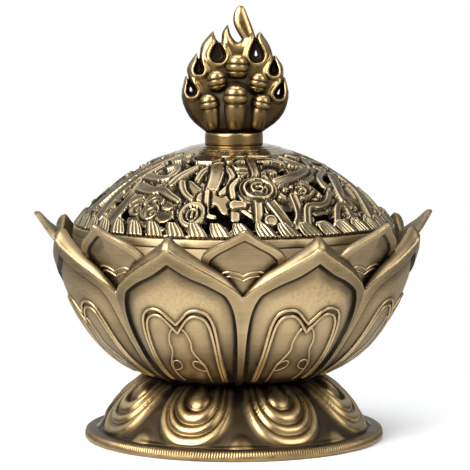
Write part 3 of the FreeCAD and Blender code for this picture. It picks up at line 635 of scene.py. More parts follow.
class HalfPetal:
    """Half a petal as a grid of (u, t): its sunk field and the band round it, from the base to the tip."""

    def __init__(self, parts):
        self.field, self.outline = half_petal_rows(parts)
        self.u, self.t, inside = petal_grid(self.field, self.outline)
        self.rim_start = parts[0][0] - 1
        self.rim_u, self.rim_t = self.outline[self.rim_start:].T
        self.in_field = np.zeros(self.u.shape)
        self.in_field[:, :inside] = 1
        self.gap = self.distance_to(self.field)
        self.to_rim = self.distance_to(self.outline[self.rim_start:])
        self.sink = self.in_field * field_profile(self.gap)

    def distance_to(self, line):
        """How far each point of the grid is from a line of (u, t), with the petal laid flat."""
        places = unrolled(self.u, self.t).reshape(-1, 2)
        return distance_to_line(places, unrolled(*np.transpose(line)))[0].reshape(self.u.shape)

    def add_edge(self, surface, place, inner):
        """Rounded edge from the rim of the face to a matching line behind it."""
        way = edge_way(place, self.rim_u, self.rim_t)
        rows = rounded_edge(place(self.rim_u, self.rim_t, 0.0), inner, way)
        surface.add_sheet(rows, EDGE_SHADE, EDGE_WEAR)

    def add_line(self, surface, place, line, width, height, count, shade_and_wear):
        """Raised line on the sunk field."""
        u, t = smooth_line(line, count).T
        depth = field_profile(distance_to_line(unrolled(u, t), unrolled(*self.field.T))[0])
        ring = raised_line(place(u, t, depth), surface_normals(place, u, t), width, height)
        surface.add_sheet(ring, *shade_and_wear, closed=True)


def outer_stain_shade_and_wear(petal):
    """Stain and painted shade, wear and painted sheen of an outer petal's face."""
    # Patina in the groove at the field's edge, and a painted shadow of the step that fades inward
    stain_and_shade = petal.in_field * (bump(0.46, 0.5, petal.gap) + 0.5 * np.exp(-petal.gap / 2.3))
    # Patina and painted shade round each raised line, and darker inside the loop
    for line, _, _, strength in HEART_LINES:
        stain_and_shade += strength * bump(0, 0.95, petal.distance_to(smooth_line(line, 90)))
    stain_and_shade += 0.35 * bump(0, 0.9, petal.distance_to((HEART_LOOP_MIDDLE, HEART_LOOP_MIDDLE)))
    # Painted shade: darker towards the base of the petals, low on the bowl
    stain_and_shade += 0.9 * (1 - smoothstep(0.0, 0.2, petal.t)) + 0.5 * (1 - smoothstep(0.08, 0.64, petal.t))
    wear_and_sheen = 0.95 * np.exp(-petal.to_rim / 0.55) + 0.5 * (1 - petal.in_field) * np.exp(-petal.gap / 0.3)
    wear_and_sheen += 0.6 * bump(0, 0.16, petal.u) * smoothstep(0.93, 1.0, petal.t)
    # Painted sheen: the upper middle of each field is made lighter, in the rubbed colour
    wear_and_sheen += 0.85 * petal.in_field * smoothstep(0.9, 4.0, petal.gap) * bump(0.75, 0.13, petal.t)
    return stain_and_shade, wear_and_sheen


def outer_petals():
    """Cup of outer petals, and the heart on each of them."""
    petal = HalfPetal(OUTER_PARTS)
    half, hearts = Surface(), Surface()
    half.add_sheet(cup_place(petal.u, petal.t, petal.sink), *outer_stain_shade_and_wear(petal))
    behind = petal.outline.copy()
    behind[petal.rim_start:, 1] += edge_slope(petal.rim_u)
    middle = np.stack([np.zeros(len(behind)), petal.field[:, 1] / petal.field[-1, 1]], axis=1)
    back = behind[:, None] + (middle - behind)[:, None] * np.linspace(0, 1, 9)[:, None]
    inside = cup_inside(back[..., 0], back[..., 1])
    # Painted shade: the inside of the cup is darker towards its bottom, between the outer and inner petals
    half.add_sheet(inside, 0.25 + 0.5 * (1 - smoothstep(0.8, 1.0, back[..., 1])), 0.15)
    petal.add_edge(half, cup_place, inside[petal.rim_start:, 0])
    for ring, flip in ((cup_place(petal.u[0], petal.t[0], 0.0), True), (inside[0, ::-1], False)):
        hole = ring * (SCREW_HOLE / np.linalg.norm(ring[:, :2], axis=1))[:, None]
        hole[:, 2] = ring[0, 2]
        half.add_sheet(np.stack([ring, hole]), 1.0, flip=flip)
    build("outer_petals", half.turned(OUTER_ANGLES), "outer_petal_cup", "burner", "petal_bronze")
    for line, width, height, _ in HEART_LINES:
        petal.add_line(hearts, cup_place, line, width, height, count=130, shade_and_wear=line_shade_and_wear(0.7, 0.95))
    build("petal_hearts", hearts.turned(OUTER_ANGLES), "outer_petal_cup", "burner", "petal_bronze")


# Bowl and inner petals

INNER_TIP_T = 1.027
INNER_GAP_T = 0.80
INNER_SHOULDER = (0.575, 0.909)
INNER_FIELD_FOOT = (0.5, 0.745)
INNER_FIELD_CORNER = (0.455, 0.911)
INNER_PARTS = (
    (22, ((0.5, 0.0), (0.5, 0.4), (0.5, 0.63), INNER_FIELD_FOOT), ((1, 0), (1, INNER_GAP_T))),
    (18, (INNER_FIELD_FOOT, (0.5, 0.81), (0.5, 0.85), (0.49, 0.885), INNER_FIELD_CORNER),
     ((1, INNER_GAP_T), (0.84, 0.803), (0.7, 0.82), (0.63, 0.85), (0.6, 0.885), INNER_SHOULDER)),
    (36, (INNER_FIELD_CORNER, (0.353, 0.936), (0.213, 0.96), (0.093, 0.981), (0.0, 0.995)),
     (INNER_SHOULDER, (0.53, 0.929), (0.45, 0.948), (0.345, 0.966), (0.22, 0.984), (0.12, 1.003),
      (0.05, 1.02), (0, INNER_TIP_T))),
)
# Raised lines on an inner petal: line, width and height
CHEVRONS = (
    (((0.0, 0.838), (0.09, 0.852), (0.2, 0.858), (0.28, 0.851), (0.33, 0.836)), 0.75, 0.5),
    (((0.0, 0.814), (0.08, 0.828), (0.17, 0.836), (0.235, 0.832), (0.27, 0.82)), 0.7, 0.45),
)
COLLAR_SECTION = (
    (COLLAR_RADIUS + 0.5, GROOVE_Z),
    (COLLAR_RADIUS, GROOVE_Z + 0.2),
    (COLLAR_RADIUS, SEAT_Z - 0.18),
    (COLLAR_RADIUS - 0.18, SEAT_Z),
    (CHAMBER_RADIUS + 0.3, SEAT_Z),
    (CHAMBER_RADIUS, SEAT_Z - 0.3),
)
CHAMBER_FLOOR_RADIUS = 29.0
CHAMBER_MIDDLE_RADIUS = 14.0
CHAMBER_WALL = (
    (CHAMBER_RADIUS, GROOVE_Z - 0.4),
    (CHAMBER_RADIUS, MAT_LOW_Z + 11.6),
    (CHAMBER_FLOOR_RADIUS + 5.5, MAT_LOW_Z + 3.9),
    (CHAMBER_FLOOR_RADIUS, MAT_LOW_Z),
)


def bowl_place(u, t, sink):
    """Point of the bowl's outside at u across half an inner petal and t up the cup's profile."""
    rise = np.clip((np.asarray(t) - INNER_GAP_T) / (INNER_TIP_T - INNER_GAP_T), 0, 1.3)
    depth = sink + NEST_OFFSET + INNER_KEEL * np.abs(u) * smoothstep(0.7, 0.85, t)
    return profile_point(u, t, depth, INNER_FLARE * rise ** 1.6)


def collar_profile():
    """Section from the groove behind the petals over the collar and down the fire chamber to its floor."""
    wall = bezier(CHAMBER_WALL, np.linspace(0, 1, 12))
    return np.vstack([COLLAR_SECTION, wall, [(CHAMBER_MIDDLE_RADIUS, MAT_LOW_Z), (0.0, MAT_LOW_Z)]])


def inner_bowl():
    """Bowl with its inner petals, the chevrons on them, the collar and the fire chamber."""
    petal = HalfPetal(INNER_PARTS)
    stain_and_shade = petal.in_field * (0.9 * bump(0.38, 0.28, petal.gap) + 0.1 * np.exp(-petal.gap / 1.3))
    # Painted shade: the lower part of each inner petal, behind the outer petals, is darker
    stain_and_shade += 0.6 * (1 - smoothstep(0.5, 0.7, petal.t))
    wear_and_sheen = 0.95 * np.exp(-petal.to_rim / 0.55) + 0.4 * (1 - petal.in_field) * np.exp(-petal.gap / 0.3)
    half = Surface()
    half.add_sheet(bowl_place(petal.u, petal.t, petal.sink), stain_and_shade, wear_and_sheen)
    behind = bowl_place(petal.rim_u, petal.rim_t, INNER_WALL)
    petal.add_edge(half, bowl_place, behind)

    radius, level = np.split(collar_profile(), 2, axis=1)
    collar = polar(radius, petal.rim_u * HALF, level)
    share = np.linspace(0, 1, 7)[:, None, None]
    half.add_sheet(behind * (1 - share) + collar[0] * share, 0.35, 0.1)
    # Soot inside the fire chamber, and the collar's outer face painted darker
    soot_and_darker_collar = 0.55 * smoothstep(SEAT_Z - 2, GROOVE_Z, level) * (radius < CHAMBER_RADIUS + 0.01)
    half.add_sheet(collar, soot_and_darker_collar + 0.45 * (radius >= COLLAR_RADIUS - 0.6))
    base = bowl_place(petal.u[0], petal.t[0], 0.0)
    half.add_sheet(np.stack([base, base * (0, 0, 1)]), 1.0, flip=True)
    for line, width, height in CHEVRONS:
        petal.add_line(half, bowl_place, line, width, height, count=50, shade_and_wear=line_shade_and_wear(0.8, 0.9))
    build("inner_petal_bowl", half.turned(INNER_ANGLES), "inner_fire_bowl", "burner", "bowl_bronze")


# Foot

FOOT_RIM_TOP = 3.4
FOOT_PETAL_RADIUS = FOOT_RADIUS - 2.1
FOOT_PROFILE = (
    (22.5, FOOT_HEIGHT),
    (28.0, 14.0),
    (33.5, 8.8),
    (FOOT_PETAL_RADIUS + 0.3, FOOT_RIM_TOP - 0.8),
)
FOOT_RELIEF = 2.0
FOOT_ROUNDNESS = 2.3
FOOT_ROWS, FOOT_COLUMNS = 92, 80
# Half the width of a petal as a share of its sector, and where it starts and how long it is on the profile
FOOT_PETAL_SIDE = 0.86
FOOT_PETAL_START = 0.12
FOOT_PETAL_LENGTH = 0.84
# Nested ridges of a petal: inner and outer edge as shares of the petal, and height
FOOT_RIDGES = ((0.0, 0.36, 1.0), (0.385, 0.62, 0.8), (0.645, 0.80, 0.64), (0.825, 1.0, 0.5))
FOOT_HOLLOW_RADIUS = FOOT_PETAL_RADIUS - 4.9
FOOT_ROOF_Z = FOOT_HEIGHT - 3.4
FOOT_HOLLOW = (
    (FOOT_HOLLOW_RADIUS, FOOT_RIM_TOP),
    (FOOT_HOLLOW_RADIUS, 8.5),
    (24.2, 10.2),
    (17.8, FOOT_ROOF_Z),
)
FOOT_NECK = ((16.0, FOOT_HEIGHT), (20.5, FOOT_HEIGHT - 2.4))
RIM_NOTCHES = 352
RIM_INNER_RADIUS = 30.0
# Section of the rim: radius, height, depth of its notches, stain and wear
RIM_SECTION = (
    (RIM_INNER_RADIUS, 0.0, 0.0, 0.0, 0.0),
    (FOOT_RADIUS - 0.4, 0.0, 0.0, 0.0, 0.0),
    (FOOT_RADIUS, 0.4, 0.0, 0.0, 0.1),
    (FOOT_RADIUS, 1.0, 0.0, 0.0, 0.1),
    (FOOT_RADIUS - 0.1, 1.7, 0.20, 0.75, 0.35),
    (FOOT_RADIUS - 0.3, 2.2, 0.26, 0.75, 0.4),
    (FOOT_RADIUS - 0.9, 2.6, 0.14, 0.75, 0.05),
    (FOOT_RADIUS - 1.3, 2.7, 0.0, 0.7, 0.0),
    (RIM_INNER_RADIUS, 2.7, 0.0, 0.7, 0.0),
    (RIM_INNER_RADIUS, 0.0, 0.0, 0.0, 0.0),
)


def oval(a, b):
    """Size of the rounded oval that passes through a place."""
    return (a ** FOOT_ROUNDNESS + b ** FOOT_ROUNDNESS) ** (1 / FOOT_ROUNDNESS)


def foot_relief(u, t):
    """Height of a down-turned petal above the ground between petals, and how worn it is."""
    side = np.abs(u) / FOOT_PETAL_SIDE
    end = np.maximum(0, (t - FOOT_PETAL_START) / FOOT_PETAL_LENGTH)
    ring = oval(side, end)
    egg = oval(side / (0.42 + 0.58 * smoothstep(0.0, 0.26, t)), end)
    height = 0.30 * (1 - smoothstep(0.96, 1.10, ring))
    worn = np.zeros(np.shape(ring))
    for low, high, top in FOOT_RIDGES:
        reach = (high - low) / 2 if low else high
        away = np.clip(np.abs(ring - (low + high) / 2 if low else egg) / reach, 0, 1)
        swell = np.sqrt(1 - away ** 2)
        height = np.maximum(height, 0.22 * (away < 1) + (top - 0.2) * swell)
        worn = np.maximum(worn, smoothstep(0.75, 1.0, swell) * (0.4 + 0.6 * top))
    leaf = np.hypot((1 - np.abs(u)) / 0.30, np.maximum(0, 0.98 - t) / 0.24)
    between = 0.42 * np.clip(1 - leaf ** 1.5, 0, 1) * (ring > 0.98)
    worn = np.maximum(worn, 0.5 * smoothstep(0.15, 0.42, between))
    return np.maximum(height, between), worn * smoothstep(-0.05, 0.15, t)


def foot_hollow():
    """Section of the foot's inside, from the rim up to the screw hole and over the top to the neck."""
    curve = bezier(FOOT_HOLLOW, np.linspace(0, 1, 9))
    hole = [(SCREW_HOLE, FOOT_ROOF_Z), (SCREW_HOLE, FOOT_HEIGHT)]
    return np.vstack([[(FOOT_HOLLOW_RADIUS, 0.6)], curve, hole, FOOT_NECK])


def foot_rim(whole):
    """Thin round rim with a beaded upper edge, as one closed ring."""
    radius, height, notch, stain_and_shade, wear_and_sheen = np.hsplit(np.array(RIM_SECTION), 5)
    beads = np.tile([0.0, 1.0, 1.0, 0.0], RIM_NOTCHES)
    grid = revolved_grid(np.hstack([radius, height]), len(beads))
    grid[..., :2] *= (1 - notch * (1 - beads) / radius)[..., None]
    whole.add_sheet(grid, stain_and_shade * np.where(notch > 0, 1 - beads, 1), wear_and_sheen * (0.4 + 0.6 * beads), closed=True)


def lotus_foot():
    """Flared foot of down-turned petals, with its hollow and its rim."""
    u, t = np.meshgrid(np.linspace(-1, 1, FOOT_COLUMNS, endpoint=False), np.linspace(0, 1, FOOT_ROWS))
    radius, height = np.moveaxis(bezier(FOOT_PROFILE, t), -1, 0)
    out, up = np.moveaxis(bezier_slope(FOOT_PROFILE, t), -1, 0)
    relief, worn = foot_relief(u, t)
    sunk = FOOT_RELIEF * (1 - relief)
    shell = polar(radius + sunk * up, u * HALF, height - sunk * out * (1 - smoothstep(0.9, 1, t)))
    stain_and_shade = 0.85 * smoothstep(0.34, 0.12, relief)
    # Painted shade: darker near the top of the foot, under the bowl
    stain_and_shade += 0.6 * (1 - smoothstep(0.02, 0.3, t)) * (1 - smoothstep(0.7, 0.95, relief))
    hollow = foot_hollow()
    wall = np.concatenate([shell, polar(hollow[:, :1], u[0] * HALF, hollow[:, 1:])])
    stain_and_shade = np.pad(stain_and_shade, ((0, len(hollow)), (0, 0)), constant_values=0.4)
    worn = np.pad(worn, ((0, len(hollow)), (0, 0)))
    whole = Surface()
    whole.add_sheet(np.concatenate([wall @ axis_turn(angle) for angle in OUTER_ANGLES], axis=1),
                    np.tile(stain_and_shade, PETAL_COUNT), np.tile(worn, PETAL_COUNT), closed=True, flip=True)
    foot_rim(whole)
    build("lotus_foot_shell", whole, "lotus_foot", "burner", "foot_bronze")


# Pierced sheets

# How dark the face underneath a pierced sheet is painted
UNDERSIDE_DARKNESS = 0.9


def fan(ring):
    """Four-cornered faces that fill a ring of corners."""
    if len(ring) == 4:
        return [ring]
    return [[ring[0], a, b, b] for a, b in zip(ring[1:], ring[2:])]


def cut_faces(solid):
    """Faces of a grid where solid isn't below zero, edges of its walls, and pairs of points with cuts."""
    faces = sheet_quads(*solid.shape)
    inside = solid.ravel() >= 0
    full = inside[faces].all(axis=1)
    mixed = inside[faces].any(axis=1) & ~full
    crossings, patches, walls = {}, [], []
    for corners in faces[mixed].tolist():
        ring, cuts = [], []
        for a, b in zip(corners, corners[1:] + corners[:1]):
            if inside[a]:
                ring.append(a)
            if inside[a] != inside[b]:
                number = crossings.setdefault((min(a, b), max(a, b)), solid.size + len(crossings))
                ring.append(number)
                cuts.append((number, inside[a]))
        patches += fan(ring)
        walls += [(number, cuts[(k + 1) % len(cuts)][0]) for k, (number, leaves) in enumerate(cuts) if leaves]
    loop = border(np.arange(solid.size).reshape(solid.shape))
    for a, b in zip(loop.tolist(), np.roll(loop, -1).tolist()):
        cut = crossings.get((min(a, b), max(a, b)))
        if inside[a] or inside[b]:
            walls.append((a if inside[a] else cut, b if inside[b] else cut))
    return np.vstack([faces[full], patches]), np.array(walls), np.array(list(crossings))


def pierced(solid, top, under, stain_and_shade, wear_and_sheen, alike=False):
    """Sheet that is open where solid is below zero: its two faces and the walls round its openings.

    The face underneath is dark, unless both are to look alike.
    """
    upper, walls, pairs = cut_faces(solid)
    start, end = solid.ravel()[pairs.T][..., None]
    share = np.clip(start / (start - end), 0.05, 0.95)

    def with_cuts(values):
        values = values.reshape(solid.size, -1)
        return np.vstack([values, values[pairs[:, 0]] * (1 - share) + values[pairs[:, 1]] * share])

    points = np.vstack([with_cuts(top), with_cuts(under)])
    stain_and_shade, wear_and_sheen = with_cuts(stain_and_shade)[:, 0], with_cuts(wear_and_sheen)[:, 0]
    size = len(stain_and_shade)
    stain_and_shade = np.concatenate([stain_and_shade, stain_and_shade if alike else np.full(size, UNDERSIDE_DARKNESS)])
    wear_and_sheen = np.concatenate([wear_and_sheen, wear_and_sheen if alike else np.zeros(size)])
    sides = np.hstack([walls[:, ::-1], walls + size])
    used, numbers = np.unique(np.vstack([upper, upper[:, ::-1] + size, sides]), return_inverse=True)
    sheet = Surface()
    sheet.add(points[used], numbers.reshape(-1, 4), stain_and_shade[used], wear_and_sheen[used])
    return sheet


# Lid

LACE_RADIUS = DOME_RADIUS - 0.5
LACE_UNDER = DOME_RADIUS - DOME_WALL
LACE_TOP, LACE_FOOT = 15.5, 54.2
LACE_ROWS, LACE_COLUMNS = 118, 431
GROUND_LEVEL = -0.75
LACE_WEIGHT = 1.2
SOLID_TOP_ROWS, SOLID_FOOT_ROWS = 3, 5
CLOUD_TILTS = (21.0, 28.5, 36.0, 43.5, 50.0)
CLOUD_SPACING = 8.0
CROWN_FLAT_RADIUS = 8.4
CROWN_GROOVES = (10.6, 12.4)
CROWN_EDGE_RADIUS = 15.2
CROWN_DEPTH = 3.1
SPIGOT_RADIUS = CHAMBER_RADIUS - 0.35
SPIGOT_BORE = SPIGOT_RADIUS - 1.7
WAVE_COUNT = 44
WAVE_WIDTH = 4.9
WAVE_HEIGHT = 4.4
WAVE_LEAN = 2.3
WAVE_UNDER = LACE_RADIUS - 0.9
FINIAL_HOLE = 2.2
ENGRAVED_DEPTH = 0.4


def on_dome(azimuth, tilt, radius):
    """Point of the dome, in degrees round from the front and degrees down from the axis."""
    lean = np.radians(tilt)
    return polar(radius * np.sin(lean), np.radians(azimuth) + FRONT, DOME_CENTRE_Z + radius * np.cos(lean))


def beside(azimuth, tilt, right, up):
    """Azimuth and tilt of a place some millimetres to the right of and above another."""
    across = LACE_RADIUS * math.sin(math.radians(tilt))
    return azimuth + np.degrees(np.asarray(right) / across), tilt - np.degrees(np.asarray(up) / LACE_RADIUS)


class Lace:
    """Height field of the cast openwork over half a turn, built up from strokes that lie over one another."""

    def __init__(self):
        self.azimuth, self.tilt = np.meshgrid(np.linspace(-90, 90, LACE_COLUMNS),
                                              np.linspace(LACE_TOP, LACE_FOOT, LACE_ROWS))
        self.places = on_dome(self.azimuth, self.tilt, LACE_RADIUS).reshape(-1, 3)
        size = len(self.places)
        self.solid = np.ones(size)
        self.height = np.full(size, GROUND_LEVEL)
        # The ground between the figures is painted fully dark: patina in the recess, and painted shade
        self.stain_and_shade = np.ones(size)
        self.wear_and_sheen = np.zeros(size)

    def lay(self, near, inset, level, rise, groove):
        """Puts a smooth band with a thin raised outline over what is there, with a trench along its sides
        that is painted black as a shadow line.
        """
        trench = (inset <= 0) & (inset > -0.4)
        here = near[trench]
        self.height[here] = np.minimum(self.height[here], level - 0.55)
        self.stain_and_shade[here] = 1.0
        self.wear_and_sheen[here] = 0.0
        body = inset > 0
        here, inset, groove = near[body], inset[body], groove[body]
        outline = bump(0.42, 0.32, inset)
        crest = np.sqrt(1 - (1 - np.clip(inset / 0.45, 0, 1)) ** 2)
        self.height[here] = level + rise * crest + 0.14 * outline - 0.4 * groove
        # Painted shade at the band's edges, over a light stain in its middle
        dark = 0.8 * smoothstep(0.2, 0.0, inset) + 0.2 * smoothstep(0.5, 1.0, inset)
        self.stain_and_shade[here] = dark + 0.65 * groove
        self.wear_and_sheen[here] = np.clip((0.5 * outline - groove) * (0.8 + level), 0, 1)
        self.solid[here] = np.maximum(self.solid[here], np.minimum(inset, 2))

    def around(self, path, margin):
        """Numbers of the places round a line of points."""
        middle = path.mean(axis=0)
        reach = np.linalg.norm(path - middle, axis=1).max() + margin
        return np.flatnonzero(np.linalg.norm(self.places - middle, axis=1) < reach)

    def engrave(self, points, width=0.3):
        """Dark line cut along a curve of (azimuth, tilt)."""
        path = on_dome(*smooth_line(points, 8 * len(points)).T, LACE_RADIUS)
        near = self.around(path, 4 * width)
        cut = bump(0, width, distance_to_line(self.places[near], path)[0])
        self.height[near] -= ENGRAVED_DEPTH * cut
        self.stain_and_shade[near] = np.maximum(self.stain_and_shade[near], cut)
        self.wear_and_sheen[near] *= 1 - cut

    def stroke(self, points, width, level=0.0, end=None, rise=0.45, groove=0.0):
        """Band along a curve of (azimuth, tilt), of half-width width at its start and end at its end."""
        end = width if end is None else end
        path = on_dome(*smooth_line(points, 6 * len(points)).T, LACE_RADIUS)
        for line in (path, path * (-1, -1, 1)):
            near = self.around(line, LACE_WEIGHT * max(width, end) + 1.0)
            if len(near):
                gap, along = distance_to_line(self.places[near], line)
                half = LACE_WEIGHT * (width + (end - width) * along)
                self.lay(near, half - gap, level, rise, groove * bump(0, 0.3, gap / half))

    def ball(self, azimuth, tilt, radius, level=0.0, rise=0.8):
        self.stroke([(azimuth, tilt), (azimuth + 0.05, tilt)], radius, level, rise=rise)

    def ring(self, azimuth, tilt, radius, width, level=0.0, tall=1.0):
        turn = np.linspace(0, 2 * math.pi, 13)
        points = beside(azimuth, tilt, radius * np.cos(turn), tall * radius * np.sin(turn))
        self.stroke(np.transpose(points), width, level)

    def scroll(self, azimuth, tilt, radius, start, hand=1, width=0.6, level=0.0, tail=0.0, turns=1.2):
        """Cloud scroll: a tail that curls into a spiral and ends in a small ball."""
        share = np.linspace(0, 1, 12)
        turn = math.radians(start) + hand * 2 * math.pi * turns * share
        size = radius * (1 - 0.78 * share)
        right, up = size * np.cos(turn), size * np.sin(turn)
        if tail:
            way = np.array([math.sin(math.radians(start)), -math.cos(math.radians(start))]) * hand * tail
            right = np.concatenate([[right[0] + way[0] + 0.35 * right[0]], right])
            up = np.concatenate([[up[0] + way[1] + 0.35 * up[0]], up])
        self.stroke(np.stack(beside(azimuth, tilt, right, up), axis=1), width, level, 0.75 * width)
        self.ball(*beside(azimuth, tilt, right[-1], up[-1]), 0.95 * width, level + 0.12)

    def clear(self, azimuth, tilt, radius):
        """Takes away what lies round a place, so that it stays open."""
        gap = np.linalg.norm(self.places - on_dome(azimuth, tilt, LACE_RADIUS), axis=1)
        self.solid = np.minimum(self.solid, np.clip(gap - radius, -2, 2))

    def joined(self):
        """Solid field with everything taken out that hangs on neither the crown nor the band."""
        shape = self.azimuth.shape
        solid = self.solid.reshape(shape).copy()
        for rows in (solid[:SOLID_TOP_ROWS], solid[-SOLID_FOOT_ROWS:]):
            np.maximum(rows, 0.5, out=rows)
        inside = solid >= 0
        held = np.zeros(shape, bool)
        held[[0, -1]] = True
        count = 0
        while held.sum() != count:
            count = held.sum()
            spread = held.copy()
            spread[:, 1:] |= held[:, :-1]
            spread[:, :-1] |= held[:, 1:]
            spread[:, [0, -1]] |= held[:, [-1, 0]]
            spread[1:] |= held[:-1]
            spread[:-1] |= held[1:]
            held = spread & inside
        return np.where(inside & ~held, -0.5, solid)


def cloud_ground(lace):
    """Rows of cloud scrolls that fill the dome under the larger figures."""
    chance = np.random.default_rng(7)
    for row, tilt in enumerate(CLOUD_TILTS):
        count = round(math.pi * LACE_RADIUS * math.sin(math.radians(tilt)) / CLOUD_SPACING)
        for k in range(count):
            azimuth = -90 + 180 * (k + 0.5 * (row % 2) + chance.uniform(-0.12, 0.12)) / count
            lace.scroll(azimuth, tilt + chance.uniform(-0.7, 0.7), chance.uniform(2.5, 3.4),
                        chance.uniform(0, 360), chance.choice((-1, 1)), chance.uniform(0.75, 1.0),
                        chance.uniform(-0.5, -0.3), 3.8)


LACE_OPENINGS = (
    (-72.0, 47.6, 1.8), (-61.0, 42.5, 1.5), (-50.0, 46.0, 2.2), (-37.7, 21.4, 1.8), (-25.5, 30.5, 2.2),
    (-28.6, 49.0, 1.8), (-10.0, 24.4, 2.0), (-10.0, 34.5, 1.4), (-12.8, 49.8, 1.6), (-9.0, 45.8, 3.2),
    (-4.0, 47.5, 2.8), (1.2, 48.8, 2.4), (15.5, 21.5, 1.6), (19.8, 46.0, 2.0), (28.4, 28.1, 1.8),
    (33.9, 47.8, 2.8), (41.8, 36.3, 2.4), (56.4, 32.4, 2.2), (67.0, 49.0, 2.4), (70.0, 33.0, 1.8),
    (84.0, 46.0, 2.0), (-86.0, 36.0, 2.0),
)


def left_figures(lace):
    """Long ribbons, curl, cloud head, leaf, fin, lumpy cloud and oval shield on the left of the front."""
    for points, width, end in (
        (((-82, 49), (-77.5, 44), (-75, 37), (-73.5, 29.5), (-70, 24), (-66, 18)), 1.8, 1.2),
        (((-66, 49), (-67, 41), (-66.5, 36), (-65.5, 31), (-63.5, 25), (-58, 20.5), (-49, 17.5)), 1.7, 0.9),
        (((-55.5, 49), (-54.5, 44.5), (-54.5, 40), (-57.5, 35), (-60, 30.5), (-58, 26)), 1.8, 0.9),
    ):
        lace.stroke(points, width, 0.1, end, groove=0.5)
    lace.stroke(((-57, 31.5), (-49, 32), (-42, 31), (-40.5, 27.5), (-45, 25), (-50, 26.5)), 1.25, 0.15, 0.7)
    lace.stroke(((-55, 22.0), (-47, 21.0), (-40, 22.0)), 1.1, 0.2, 0.7)
    lace.stroke(((-36, 34), (-35, 31), (-32, 28), (-28.5, 25.5)), 1.1, 0.25, 0.7)
    lace.stroke(((-18, 21.5), (-17.5, 24.5), (-22, 27.5), (-23, 32.5)), 1.05, 0.1, 0.8)
    lace.stroke(((-31, 19.8), (-21, 19.8)), 2.1, 0.2)
    lace.stroke(((-13.5, 24), (-13, 30), (-13.5, 36.5)), 1.7, 0.05, 1.4)
    for azimuth, tilt, size in (
        (-49, 42, 2.0), (-43.5, 48.5, 2.0), (-37, 48.5, 2.0), (-31, 46.5, 2.2),
        (-45.5, 44.5, 2.3), (-31.5, 42, 2.2), (-39, 41.5, 2.6), (-38.5, 45.5, 2.3),
    ):
        lace.ball(azimuth, tilt, size, 0.1, 0.5)
    for azimuth, tilt in ((-45.5, 45), (-39, 42), (-37.5, 46)):
        turn = np.linspace(0, 2.2 * math.pi, 9)
        size = np.linspace(1.6, 0.6, 9)
        lace.engrave(np.stack(beside(azimuth, tilt, size * np.cos(turn), size * np.sin(turn)), axis=1))
    lace.stroke(((-53, 36.5), (-45, 37.5), (-39, 37), (-33, 39.0), (-27.5, 41.0)), 1.5, 0.2, 0.8)
    lace.stroke(((-27, 34.5), (-21.5, 37), (-17, 38.5)), 1.7, 0.0, 1.4)
    lace.stroke(((-30.5, 33.5), (-26.5, 37.5), (-21.5, 40.2), (-15.5, 40.9)), 0.9, 0.25, 0.7)
    lace.stroke(((-15, 39.5), (-11, 39.5), (-8, 41), (-6, 44)), 2.3, 0.05, 1.5)
    lace.stroke(((-15.4, 37), (-14.4, 42.4), (-13.5, 46), (-10.5, 47)), 0.65, 0.3)
    for size, width, level in ((2.6, 0.75, 0.15), (1.2, 0.5, 0.0)):
        lace.ring(-19.6, 45.8, size, width, level, 1.25)
    lace.stroke(((-19.6, 45.0), (-19.6, 46.8)), 0.4, 0.1)


def middle_figures(lace):
    """Dark medallion, swirl medallion with its pillar, flag, pearl and bar in the middle of the front."""
    lace.ball(2.5, 23.7, 3.4, -0.25, 0.5)
    lace.ring(2.5, 23.7, 2.1, 0.35, 0.1)
    lace.stroke(((-6.5, 21.5), (-3.0, 18.6), (3.0, 18.2), (9.8, 19.5), (12.9, 24.0)), 0.85, 0.3, 0.6)
    lace.stroke(((10.5, 20), (10.2, 25), (9.5, 31)), 0.9, 0.1)
    lace.stroke(((-8.7, 37.5), (-5.3, 34.3), (-4.0, 30.0), (-6.0, 26.5)), 0.8, 0.1)
    lace.stroke(((-3.4, 39), (-3.8, 34.8), (-0.4, 31.6)), 0.75, 0.2)
    lace.stroke(((-2.3, 43), (-2.5, 47)), 1.1, -0.1)
    lace.stroke(((0, 44), (4.7, 47.3)), 0.55, 0.2)
    lace.stroke(((-2.6, 42.3), (0.7, 42.3)), 1.3, 0.3, 1.0)
    lace.stroke(((7.4, 41), (6.3, 50)), 0.95, 0.3)
    lace.ball(10.9, 48.3, 1.5, 0.2, 0.9)
    lace.stroke(((12.6, 41), (15, 45.1), (17.3, 50)), 1.2, 0.25, groove=0.6)
    lace.ball(9.0, 35.4, 4.0, 0.0, 0.25)
    lace.ring(9.0, 35.4, 3.5, 0.42, 0.15)
    lace.scroll(9.0, 35.4, 2.1, 60, 1, 0.42, 0.15, turns=1.3)


